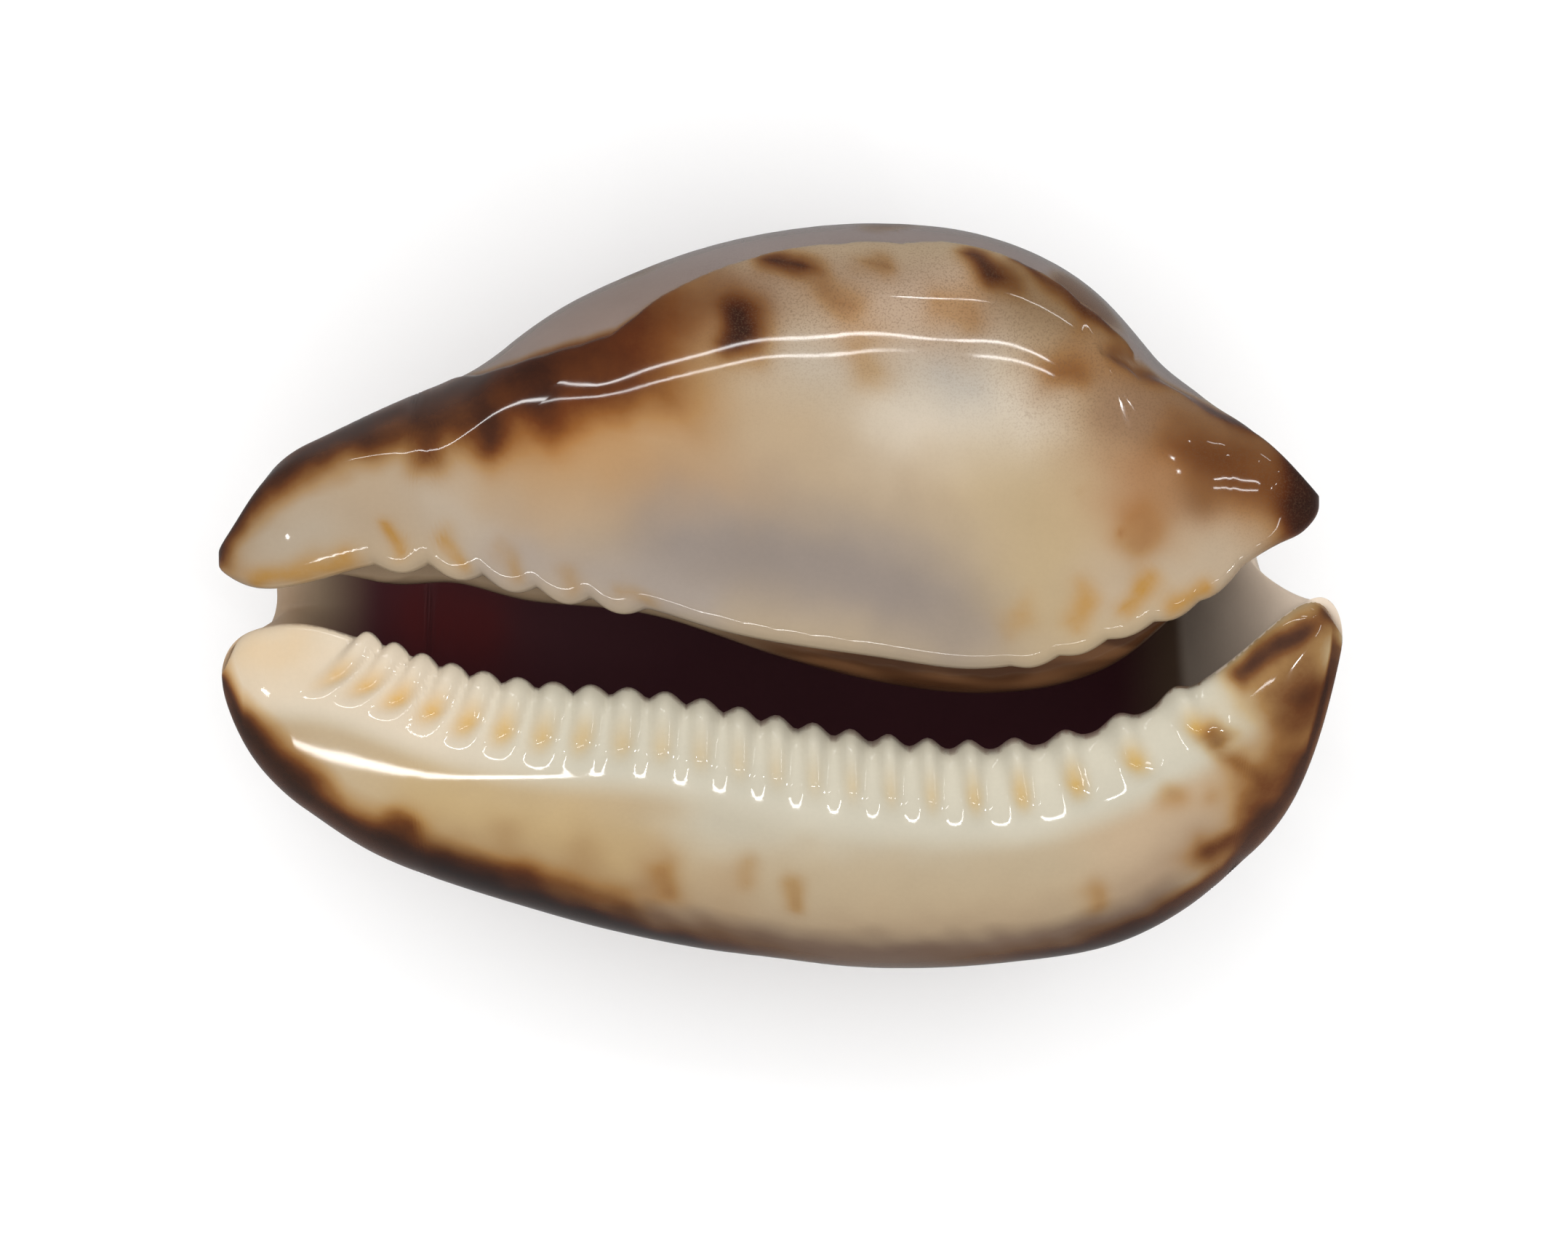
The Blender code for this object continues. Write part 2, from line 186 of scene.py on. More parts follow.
# The cross-section's key points: how each one's Y or Z, or the roundness of an arc, runs along X.
PROFILES: dict[str, Points] = {
    "lip_edge_y": (
        (-34, -1.6), (-33.4, 0.8), (-31.6, 1.9), (-28.4, 2.4), (-24.9, 1.5), (-19.8, -0.5), (-13.5, -1.8),
        (-6.9, -2.5), (0, -4.2), (6.3, -5.4), (11.5, -5.8), (17.2, -5.1), (20.4, -4.0), (23.75, -2.3),
        (27.1, -0.1), (30.2, 2.4), (32.6, 3.4), (33.5, 2.6), (34, 0.3),
    ),
    "lip_edge_z": (
        (-34, -3.8), (-31, -3.2), (-27, -2.2), (-15, -1.7), (15, -1.7), (27, -2.4), (31, -3.4), (34, -4.2),
    ),
    "lip_crest_out": (
        (-34, 0.9), (-31, 6.4), (-28, 8.6), (-25, 8.4), (-21, 7.0), (-16, 5.3), (-8, 4.5), (2, 4.1),
        (20, 4.2), (27, 3.8), (34, 1.0),
    ),
    "lip_crest_z": (
        (-34, -2.6), (-31, -1.6), (-24, -0.5), (-8, 0.0), (10, 0.0), (22, -0.4), (30, -1.6), (34, -3.4),
    ),
    "lip_margin_y": (
        (-34, -7.2), (-32.3, -9.3), (-30.5, -10.5), (-28.8, -11.8), (-25.2, -14.6), (-20, -17.2),
        (-14.7, -19.3), (-7.7, -21.5), (0, -22.8), (6.4, -23.4), (11.7, -23.1), (17, -22.4), (20.5, -21.5),
        (24, -19.7), (27.5, -16.9), (29.3, -15.1), (31, -13.7), (32.8, -12.6), (33.5, -11.7), (34, -8.4),
    ),
    "lip_margin_z": ((-34, -4.8), (-20, -8.5), (0, -9.5), (20, -8.5), (34, -5.4)),
    "back_y": ((-34, 2.2), (-28, 1.0), (-18, -1.0), (4, -0.5), (18, 0.4), (28, 3.4), (34, 5.4)),
    "back_z": (
        (-34, -8.4), (-31, -10.8), (-28, -13.0), (-24, -16.6), (-20, -20.6), (-15, -25.2), (-10, -29.6),
        (0, -34.2), (6, -35.0), (14, -33.8), (20, -29.8), (25, -23.4), (28, -18.6), (31, -13.6),
        (34, -9.4),
    ),
    "side_y": (
        (-34, 8.3), (-33.2, 10.0), (-32, 11.5), (-30.4, 12.5), (-28.6, 13.2), (-25.2, 14.5), (-21.7, 15.5),
        (-19.4, 16.2), (-16.4, 18.1), (-13, 19.9), (-9.7, 21.0), (-5, 22.3), (0, 23.2), (6, 23.5),
        (12, 22.9), (17, 21.3), (20, 19.4), (24, 15.9), (27.5, 14.1), (31, 13.5), (33, 12.7), (34, 10.9),
    ),
    "side_z": (
        (-34, -4.4), (-28, -5.3), (-24, -5.5), (-20, -6.4), (-14, -8.6), (-8, -10.6), (0, -11.5),
        (12, -11.5), (20, -9.5), (34, -5.4),
    ),
    "side_crest_in": ((-34, 0.5), (-31, 1.5), (-24, 1.6), (0, 1.4), (20, 1.4), (28, 1.4), (34, 0.8)),
    "shoulder_fullness": ((-34, 2.8), (-18, 3.0), (-10, 2.4), (0, 2.0), (34, 2.0)),
    "base_whole": ((-34, 0.9), (-18, 0.9), (-11, 0.82), (0, 0.76), (20, 0.76), (34, 0.8)),
    "side_crest_z": (
        (-34, -2.8), (-31, -1.8), (-24, -0.6), (-8, 0.0), (10, 0.0), (22, -0.4), (30, -2.0), (34, -4.0),
    ),
    "side_edge_y": (
        (-34, 5.8), (-33.2, 4.9), (-32, 4.5), (-29.6, 4.9), (-26.8, 6.0), (-22.7, 7.1), (-18.9, 6.6),
        (-12.5, 5.1), (-7.5, 4.0), (-4.8, 3.1), (1.1, 1.7), (5.6, 1.0), (11.0, 0.2), (16.8, 1.05),
        (21.3, 2.7), (25.4, 4.25), (28.4, 6.3), (30.0, 7.1), (31.4, 7.5), (32.4, 7.7), (33.3, 8.2),
        (34, 9.3),
    ),
    "side_edge_z": (
        (-34, -4.6), (-31, -3.6), (-27, -2.3), (-15, -1.6), (15, -1.6), (27, -2.6), (31, -3.8), (34, -5.0),
    ),
    "roll_y": (
        (-34, 5.3), (-33.2, 4.8), (-31, 4.6), (-27, 5.2), (-23, 4.4), (-19.7, 4.4), (-16, 3.2),
        (-12.3, 2.6), (-7.5, 1.7), (-1.6, -0.7), (5.5, -3.1), (10.1, -3.9), (13.5, -3.9), (17.5, -3.0),
        (21, -1.0), (24, 2.0), (27, 4.8), (30, 6.8), (34, 8.7),
    ),
    "roll_z": (
        (-34, -5.0), (-31, -4.6), (-26, -4.2), (-16, -5.0), (0, -6.6), (14, -6.8), (24, -5.2), (30, -4.8),
        (34, -5.6),
    ),
    "foot_z": (
        (-34, -5.6), (-30, -5.6), (-25, -7.0), (-18, -9.5), (-8, -12.0), (4, -14.0), (12, -17.5),
        (19, -18.5), (25, -13.5), (30, -7.2), (34, -6.4),
    ),
    "lip_wall_y": (
        (-34, 3.2), (-31, 1.8), (-28, -0.4), (-24, -5.4), (-18, -11.0), (-8, -16.4), (4, -18.6),
        (13, -18.4), (20, -15.8), (25, -10.4), (28, -4.4), (31, 2.8), (34, 7.0),
    ),
    "side_wall_y": (
        (-34, 5.2), (-31, 6.0), (-28, 7.4), (-24, 9.2), (-20, 11.8), (-12, 15.6), (-4, 18.2), (4, 19.0),
        (11, 17.8), (17, 14.6), (22, 10.8), (26, 8.8), (30, 8.2), (34, 8.8),
    ),
    "floor_z": (
        (-34, -6.8), (-31, -7.2), (-28, -9.4), (-24, -13.4), (-20, -17.2), (-10, -25.2), (0, -31.0),
        (6, -32.2), (14, -30.4), (20, -25.4), (25, -18.4), (28, -13.4), (31, -8.8), (34, -7.2),
    ),
}


class Leaving(Enum):
    """How a quarter arc leaves its first point."""

    LEVEL = 0
    UPRIGHT = 1


class Flank(Enum):
    """The edge that distances round the shell are measured from."""

    LIP = "from_lip"
    COLUMELLA = "from_columella"


class Layer(Enum):
    """What a stroke lays down: its own ground colour, or one of the shell's pigments."""

    GROUND = "ground"
    BROWN = "brown"
    YELLOW = "yellow"
    SPECKLE = "speckle"
    DULL = "dull"


@dataclass(frozen=True)
class Arc:
    """A quarter arc of a cross-section, between two key points."""

    start: tuple[Array, Array]
    end: tuple[Array, Array]
    leaving: Leaving
    steps: int
    fullness: Array | float = 2.0
    whole: Array | float = 1.0

    def points(self, grain: int) -> Array:
        """The arc's points on every ring.

        Args:
            grain: points for each step.

        Returns:
            An array of (rings, points, 2), without the arc's end point.
        """
        one = np.ones(len(self.start[0]))
        top = (one * self.whole * math.pi / 2)[:, None]
        power = (2 / (one * self.fullness))[:, None]
        turn = np.linspace(0, 1, self.steps * grain, endpoint=False) * top
        away = (np.sin(turn) / np.sin(top)) ** power
        along = (1 - np.cos(turn) ** power) / (1 - np.abs(np.cos(top)) ** power)
        across, up = (away, along) if self.leaving is Leaving.LEVEL else (along, away)
        y = self.start[0][:, None] + (self.end[0] - self.start[0])[:, None] * across
        z = self.start[1][:, None] + (self.end[1] - self.start[1])[:, None] * up
        return np.stack([y, z], axis=2)


@dataclass
class Whorl:
    """The rolled sheet of the shell, as two chains of arcs through the key points of its cross-sections."""

    grain: int = 16
    steps: int = 34
    roll_top_across: float = 0.35
    roll_top_down: float = 0.55
    foot_across: float = 0.5
    lip_fullness: float = 2.2
    side_wall_down: float = 0.3
    lip_wall_down: float = 0.38
    under_lip_across: float = 0.3
    under_lip_down: float = 0.12

    def chains(self, x: Array) -> tuple[Array, Array]:
        """The outer and the inner chain of every cross-section.

        Args:
            x: the rings' places along the shell.

        Returns:
            Two arrays of (rings, points, 2), whose points pair up across the wall.
        """
        at = {name: Profile(points).at(x) for name, points in PROFILES.items()}
        lip_edge = (at["lip_edge_y"], at["lip_edge_z"])
        lip_crest = (at["lip_edge_y"] - at["lip_crest_out"], at["lip_crest_z"])
        lip_margin = (at["lip_margin_y"], at["lip_margin_z"])
        back = (at["back_y"], at["back_z"])
        side = (at["side_y"], at["side_z"])
        side_crest = (at["side_edge_y"] + at["side_crest_in"], at["side_crest_z"])
        side_edge = (at["side_edge_y"], at["side_edge_z"])
        roll = (at["roll_y"], at["roll_z"])
        roll_top = (
            part_way(at["side_edge_y"], at["roll_y"], self.roll_top_across),
            part_way(at["side_edge_z"], at["roll_z"], self.roll_top_down),
        )
        outer = (
            Arc(lip_edge, lip_crest, Leaving.UPRIGHT, 6),
            Arc(lip_crest, lip_margin, Leaving.LEVEL, 4, self.lip_fullness),
            Arc(lip_margin, back, Leaving.UPRIGHT, 6),
            Arc(back, side, Leaving.LEVEL, 6),
            Arc(side, side_crest, Leaving.UPRIGHT, 5, at["shoulder_fullness"], at["base_whole"]),
            Arc(side_crest, side_edge, Leaving.LEVEL, 4),
            Arc(side_edge, roll_top, Leaving.UPRIGHT, 1),
            Arc(roll_top, roll, Leaving.LEVEL, 2),
        )
        floor = (at["back_y"], at["floor_z"])
        foot = (part_way(at["roll_y"], at["side_wall_y"], self.foot_across), at["foot_z"])
        side_wall = (at["side_wall_y"], part_way(at["foot_z"], at["floor_z"], self.side_wall_down))
        lip_wall = (at["lip_wall_y"], part_way(at["lip_edge_z"], at["floor_z"], self.lip_wall_down))
        under_lip = (
            part_way(at["lip_edge_y"], at["lip_wall_y"], self.under_lip_across),
            part_way(at["lip_edge_z"], at["floor_z"], self.under_lip_down),
        )
        inner = (
            Arc(lip_edge, under_lip, Leaving.UPRIGHT, 6),
            Arc(under_lip, lip_wall, Leaving.LEVEL, 4),
            Arc(lip_wall, floor, Leaving.UPRIGHT, 6),
            Arc(floor, side_wall, Leaving.LEVEL, 6),
            Arc(side_wall, foot, Leaving.UPRIGHT, 6),
            Arc(foot, roll, Leaving.LEVEL, 6),
        )
        end = np.stack(roll, axis=1)[:, None, :]
        sheets = ([arc.points(self.grain) for arc in chain] for chain in (outer, inner))
        return tuple(np.concatenate([*sheet, end], axis=1) for sheet in sheets)


@dataclass
class LipTeeth:
    """The ridges of the outer lip, and the scallops that they make along its edge."""

    count: int = 22
    crests: Points = ((0, -24.9), (4, -17.9), (10, -4.7), (16, 8.9), (18, 14.1), (21, 23.75))
    height: float = 0.5
    rise: float = 1.2
    scallop: float = 0.75
    scallop_fade: Span = (0.4, 2.4)
    length: float = 4.6
    slant: Points = (
        (-34, -0.9), (-25, -0.75), (-20, -0.5), (-8, -0.12), (8, 0.05), (17, 0.25), (24, 0.55), (34, 0.8),
    )
    sharpness: Points = ((-34, 0.4), (-22, 0.4), (-12, 0.5), (0, 0.75), (12, 1.2), (34, 1.5))
    outward_sharpening: float = 0.2
    reach_steps: int = 14
    inner_fade_steps: int = 6
    samples: int = 20

    def ridges(self, x: Array, from_edge: Array) -> Array:
        """How much of a ridge each point of the lip has.

        Args:
            x: the rings' places along the shell.
            from_edge: each point's distance from the lip's edge.

        Returns:
            Values from 0 in the middle of a groove to 1 on a crest.
        """
        number = np.linspace(-0.5, self.count - 0.5, self.samples * self.count + 1)
        crest_x = SmoothCurve(self.crests).at(number)
        slant = Profile(self.slant).at(x)[:, None]
        phase = np.interp(x[:, None] - slant * from_edge, crest_x, number)
        power = Profile(self.sharpness).at(x)[:, None] * (1 + self.outward_sharpening * from_edge)
        return (0.5 + 0.5 * np.cos(2 * math.pi * phase)) ** power

    def carve(self, x: Array, outer: Array, inner: Array, steps: Array) -> dict[str, Array]:
        """Raises the teeth on both faces of the lip.

        Args:
            x: the rings' places along the shell.
            outer: the outer chains, which are changed.
            inner: the inner chains, which are changed.
            steps: the chains' step numbers.

        Returns:
            The ridge of each outer point, and its distance from the edge.
        """
        from_edge = np.linalg.norm(outer - outer[:, :1], axis=2)
        near = steps < self.reach_steps
        ridges = self.ridges(x, from_edge) * near
        tall = ridges * (1 - smoothstep(self.length / 2, self.length, from_edge))
        stand_out = self.scallop * tall * (1 - smoothstep(*self.scallop_fade, from_edge))
        outer[:, :, 1] += self.height * tall * smoothstep(0, self.rise, from_edge)
        outer[:, :, 0] += stand_out
        inner[:, :, 0] += stand_out[:, :1] * (1 - smoothstep(0, self.inner_fade_steps, steps))
        return {"tooth": tall, "tooth_distance": np.where(near, from_edge, FAR)}


@dataclass
class ColumellaTeeth:
    """The short, weak teeth of the columellar lip, in two rows of first and last crest, pitch and height."""

    rows: tuple[tuple[float, float, float, float], ...] = ((-22.6, -9.6, 3.25, 0.6), (15.5, 27.1, 2.9, 0.3))
    length: float = 3.0
    full_share: float = 0.4
    slant: float = -0.25
    lift: float = 0.5
    sharpness: float = 0.5
    edge_step: int = 31
    reach_steps: int = 5

    def edge(self, steps: Array) -> int:
        """The number of the point on the columellar edge."""
        return int(np.argmin(np.abs(steps - self.edge_step)))

    def carve(self, x: Array, outer: Array, steps: Array) -> None:
        """Raises the teeth of both rows.

        Args:
            x: the rings' places along the shell.
            outer: the outer chains, which are changed.
            steps: the chains' step numbers.
        """
        edge = self.edge(steps)
        from_edge = np.linalg.norm(outer - outer[:, edge : edge + 1], axis=2)
        near = np.abs(steps - self.edge_step) < self.reach_steps
        start_x = x[:, None] - self.slant * from_edge
        fade = 1 - smoothstep(self.full_share * self.length, self.length, from_edge)
        for first, last, pitch, top in self.rows:
            inside = (start_x > first - pitch / 2) & (start_x < last + pitch / 2)
            ridge = (0.5 + 0.5 * np.cos(2 * math.pi * (start_x - first) / pitch)) ** self.sharpness
            height = top * ridge * inside * near * fade
            outer[:, :, 0] -= height
            outer[:, :, 1] += self.lift * height


@dataclass
class Canals:
    """The shell's two ends, where the wall closes to a rounded rim and the canals' floors stand back."""

    rim_closing: float = 4.6
    front_notch: float = 3.2
    rear_notch: float = 5.4
    tip_rounding: float = 0.4
    rear_tip_back: float = 1.6
    notch_fade: float = 16.0
    front_begins: Span = (0.22, 0.47)
    front_ends: Span = (0.52, 0.74)
    rear_begins: Span = (0.18, 0.5)
    rear_ends: Span = (0.54, 0.74)
    rear_tip_begins: Span = (0.45, 0.72)
    rounded_edge: float = 0.16

    def close(self, x: Array, outer: Array, inner: Array, place: Array) -> Array:
        """Draws the two chains together towards the ends, and bends the rings back where the canals are.

        Args:
            x: the rings' places along the shell.
            outer: the outer chains, which are changed.
            inner: the inner chains, which are changed.
            place: each point's place along its chain, from 0 to 1.

        Returns:
            The place along X of every point, as an array of (rings, points).
        """
        to_end = LENGTH / 2 - np.abs(x)
        rest = 1 - np.clip(to_end / self.rim_closing, 0, 1)
        thick = np.sqrt(np.clip(1 - rest**2, 0, 1))[:, None, None]
        middle = (outer + inner) / 2
        outer[:] = middle + (outer - middle) * thick
        inner[:] = middle + (inner - middle) * thick
        front_floor = smoothstep(*self.front_begins, place) - smoothstep(*self.front_ends, place)
        rear_floor = smoothstep(*self.rear_begins, place) - smoothstep(*self.rear_ends, place)
        rear_tip = smoothstep(*self.rear_tip_begins, place)
        edges = 1 - smoothstep(0, self.rounded_edge, place) + smoothstep(1 - self.rounded_edge, 1, place)
        front_back = front_floor * self.front_notch + edges * self.tip_rounding
        rear_back = rear_floor * self.rear_notch + rear_tip * self.rear_tip_back + edges * self.tip_rounding
        fade = np.clip(1 - to_end / self.notch_fade, 0, 1) ** 2
        front = np.where(x < 0, fade, 0)[:, None] * front_back
        rear = np.where(x > 0, fade, 0)[:, None] * rear_back
        return x[:, None] + front - rear


@dataclass
class Lie:
    """The way the shell lies: turned about its long axis, tipped, and flat where it touches the surface."""

    roll: float = 25.0
    pitch: float = 5.0
    flat_depth: float = 0.5

    def turn(self) -> Array:
        """The rotation from the shell's own frame to the way it lies."""
        roll = Matrix.Rotation(math.radians(self.roll), 3, "X")
        pitch = Matrix.Rotation(math.radians(-self.pitch), 3, "Y")
        return np.array(pitch @ roll)

    def lay(self, points: Array) -> Array:
        """Lays points down where the solid lies, and presses the flat spot into them.

        Args:
            points: an array of (..., 3) in the shell's own frame, in millimetres.

        Returns:
            The points in the row's frame, in metres.
        """
        low, high = (np.array(corner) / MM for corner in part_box("shell"))
        laid = points @ self.turn().T
        flat = laid.reshape(-1, 3)
        shift = (low + high) / 2 - (flat.min(0) + flat.max(0)) / 2
        shift[2] = -self.flat_depth - flat[:, 2].min()
        laid = laid + shift
        laid[..., 2] = np.maximum(laid[..., 2], 0)
        return laid * MM


@dataclass(frozen=True)
class Sight:
    """The view of the lying shell from above, which marks are placed by."""

    aim: tuple[float, float, float] = (-4.85, -2.43, 14.58)
    distance: float = 450.0
    tip: float = -5.0

    def matrix(self) -> Matrix:
        """The camera's turn and place, in millimetres."""
        turn = Matrix.Rotation(math.radians(self.tip), 4, "Y")
        return Matrix.Translation(Vector(self.aim) + turn.to_3x3() @ Vector((0, 0, self.distance))) @ turn

    def seen(self, points: Array) -> Array:
        """Points as seen: millimetres right and up in the plane through the aim, and the nearness.

        Args:
            points: an array of (..., 3), laid down, in millimetres.

        Returns:
            An array of (..., 3).
        """
        inverse = np.array(self.matrix().inverted())
        local = points @ inverse[:3, :3].T + inverse[:3, 3]
        scale = self.distance / -local[..., 2:]
        return np.concatenate([local[..., :2] * scale, local[..., 2:]], axis=-1)


def located(seen: Array, place: tuple[float, float], reach: float = 0.5, depth: float = 1.5) -> int:
    """The number of the surface point that shows at a place in the view from above.

    Args:
        seen: the surface's points in that view.
        place: the place to look at, in millimetres.
        reach: how far round the nearest point others are looked for.
        depth: how far under the highest of them a point still shows.

    Returns:
        The point's number.
    """
    away = np.hypot(seen[:, 0] - place[0], seen[:, 1] - place[1])
    near = np.flatnonzero(away < away.min() + reach)
    level = near[seen[near, 2] > seen[near, 2].max() - depth]
    return int(level[np.argmin(away[level])])


@dataclass(frozen=True)
class Stroke:
    """A soft stroke over the shell, along a path of points in the view from above."""

    layer: Layer
    path: Points
    reach: float
    amount: float = 1.0
    colour: Colour = (0, 0, 0)
    inside: bool = False


def strokes(layer: Layer, *rows: tuple) -> tuple[Stroke, ...]:
    """Strokes of one pigment, from rows of reach, amount and then the path's points."""
    return tuple(Stroke(layer, tuple(path), reach, amount) for reach, amount, *path in rows)


def grounds(*rows: tuple, inside: bool = False) -> tuple[Stroke, ...]:
    """Strokes of ground colour, from rows of colour, reach, amount and then the path's points."""
    return tuple(
        Stroke(Layer.GROUND, tuple(path), reach, amount, colour, inside)
        for colour, reach, amount, *path in rows
    )


@dataclass(frozen=True)
class Wash:
    """A ground colour that comes in smoothly over a span of some measure, whichever way the span runs."""

    colour: Colour
    span: Span
    amount: float = 1.0


@dataclass(frozen=True)
class Band:
    """A band along one flank, whose strength changes with the distance beyond a line."""

    layer: Layer
    flank: Flank
    line: Points
    ramp: Points
    colour: Colour = (0, 0, 0)
    ends: Span = (3.0, 3.0)


@dataclass(frozen=True)
class Ripple:
    """A smooth random field in space: plane waves of about one length."""

    length: float
    seed: int
    waves: int = 24

    def at(self, points: Array) -> Array:
        """The field's values, mostly between -1 and 1.

        Args:
            points: an array of (..., 3), in millimetres.

        Returns:
            An array of (...).
        """
        random = np.random.default_rng(self.seed)
        way = random.normal(size=(self.waves, 3))
        way /= np.linalg.norm(way, axis=1)[:, None]
        way *= 2 * math.pi / (self.length * random.uniform(0.7, 1.5, (self.waves, 1)))
        turn = random.uniform(0, 2 * math.pi, self.waves)
        total = np.zeros(points.shape[:-1])
        for k in range(self.waves):
            total += np.cos(points @ way[k] + turn[k])
        return total / math.sqrt(self.waves)


@dataclass(frozen=True)
class Patches:
    """Soft patches of a ground colour or a pigment, where a random field is high."""

    layer: Layer
    ripple: Ripple
    rise: Span
    amount: float
    colour: Colour = (0, 0, 0)
    squeeze: tuple[float, float, float] = (1.0, 1.0, 1.0)


@dataclass
class Canvas:
    """The shell's surface as strokes are laid on it."""

    points: Array
    seen: Array
    along: Array
    known: dict[str, Array]
    outer: Array
    wobble: float = 0.22
    wobble_ripples: tuple[Ripple, ...] = tuple(Ripple(3.0, seed) for seed in (1, 2, 3))
    band_ripple: Ripple = Ripple(2.4, 9)
    falloff: float = 0.9
    lip_flank: Span = (16, 13)
    columellar_flank: Span = (16, 19)

    def __post_init__(self) -> None:
        """Starts the layers empty, and wobbles the places that strokes are measured from."""
        size = self.points.shape[:-1]
        self.layers = {layer: np.zeros(size) for layer in Layer if layer is not Layer.GROUND}
        self.layers[Layer.GROUND] = np.zeros(size + (3,))
        shift = [ripple.at(self.points) for ripple in self.wobble_ripples]
        self.moved = self.points + self.wobble * np.stack(shift, axis=-1)

    def lay(self, layer: Layer, weight: Array, colour: Colour = (0, 0, 0)) -> None:
        """Lays a weight of pigment, or of ground colour, over what is there."""
        if layer is Layer.GROUND:
            ground = self.layers[layer]
            ground += (np.array(colour) - ground) * np.clip(weight, 0, 1)[:, None]
        else:
            kept = self.layers[layer]
            kept += (1 - kept) * np.clip(weight, 0, 1)

    def wash(self, wash: Wash, measure: Array, where: Array) -> None:
        """Lays a wash over part of the surface."""
        self.lay(Layer.GROUND, where * wash.amount * smoothstep(*wash.span, measure), wash.colour)

    def scatter(self, patches: Patches, where: Array) -> None:
        """Lays patches over part of the surface."""
        values = patches.ripple.at(self.points * np.array(patches.squeeze))
        self.lay(patches.layer, where * patches.amount * smoothstep(*patches.rise, values), patches.colour)

    def stroke(self, stroke: Stroke) -> None:
        """Lays one stroke.

        Args:
            stroke: its path, in the view from above, its reach and its pigment.
        """
        path = [self.points[located(self.seen, place)] for place in stroke.path]
        path = path * 2 if len(path) == 1 else path
        away = from_path(self.moved, path)
        side = self.outer < 0.5 if stroke.inside else self.outer > 0.5
        weight = stroke.amount * np.exp(-((away / stroke.reach) ** 2) * self.falloff) * side
        self.lay(stroke.layer, weight, stroke.colour)

    def band(self, band: Band) -> None:
        """Lays one band.

        Args:
            band: its line, in the view from above, and its strength over the distance beyond it.
        """
        measure = self.known[band.flank.value]
        picked = [located(self.seen, place) for place in band.line]
        line_x = self.along[picked]
        line = np.interp(self.along, line_x, measure[picked])
        beyond = measure - line + self.wobble * self.band_ripple.at(self.points)
        strength = np.interp(beyond, *np.array(band.ramp).T)
        inside = 1 - smoothstep(0, band.ends[0], line_x[0] - self.along)
        inside *= 1 - smoothstep(0, band.ends[1], self.along - line_x[-1])
        flank = self.lip_flank if band.flank is Flank.LIP else self.columellar_flank
        inside *= smoothstep(*flank, self.known["step"])
        self.lay(band.layer, strength * inside * (self.outer > 0.5), band.colour)


@dataclass
class Ledge:
    """The edge of the callus, where it stops over the back of the shell and leaves a low step.

    The seen part's points are in the view from above. The hidden part's are places along X and step numbers.
    """

    seen_part: Points = (
        (-19.4, 15.9), (-17.2, 16.5), (-15.0, 17.1), (-12.7, 17.7), (-10.7, 18.4), (-9.3, 19.5),
        (-7.8, 20.7), (-6.3, 21.6), (-4.1, 22.5), (-2.2, 23.1), (0.1, 23.7), (3.6, 24.1), (7.5, 24.1),
        (10.9, 24.1), (12.7, 23.7), (15.2, 22.7), (17.0, 21.8), (18.7, 20.4), (20.6, 18.9), (22.0, 17.4),
        (19.9, 17.3), (21.1, 16.6), (22.4, 15.7), (25.2, 14.6), (26.7, 13.9),
    )
    hidden_part: Points = (
        (27.4, 20.8), (27.8, 19.0), (27.3, 17.0), (25.8, 15.2), (22.6, 13.6), (16.0, 12.6), (6.0, 12.2),
        (-6.0, 12.4), (-12.0, 13.0), (-16.4, 13.9), (-19.4, 15.2), (-21.2, 16.8), (-21.8, 18.4),
        (-21.0, 20.0),
    )
    depth: float = 0.34
    rim: float = 0.09
    rim_width: float = 0.5
    half_width: float = 0.16
    reach: tuple[Span, ...] = ((-21.5, -17), (27, 23.5))

    def signed(self, along: Array, girth: Array, edge: Array) -> Array:
        """The distance beyond the edge, positive over the back.

        Args:
            along: each point's place along the shell.
            girth: each point's place round it, in millimetres.
            edge: the closed edge, as rows of (along, girth).

        Returns:
            Distances in millimetres.
        """
        closed = np.concatenate([edge, edge[:1]])
        away = from_path(np.stack([along, girth], axis=1), closed)
        inside = np.zeros(len(along), bool)
        for start, end in zip(closed, closed[1:]):
            run = end - start
            crosses = (start[1] > girth) != (end[1] > girth)
            rise = run[1] if abs(run[1]) > TINY else TINY
            inside ^= crosses & (along < start[0] + run[0] * (girth - start[1]) / rise)
        return np.where(inside, away, -away)

    def relief(self, beyond: Array) -> Array:
        """The surface's height over its smooth form, with the step and its rim."""
        step = smoothstep(-self.half_width, self.half_width, beyond)
        rim = np.exp(-(((beyond + self.rim_width) / self.rim_width) ** 2))
        return self.rim * rim * (1 - step) - self.depth * step


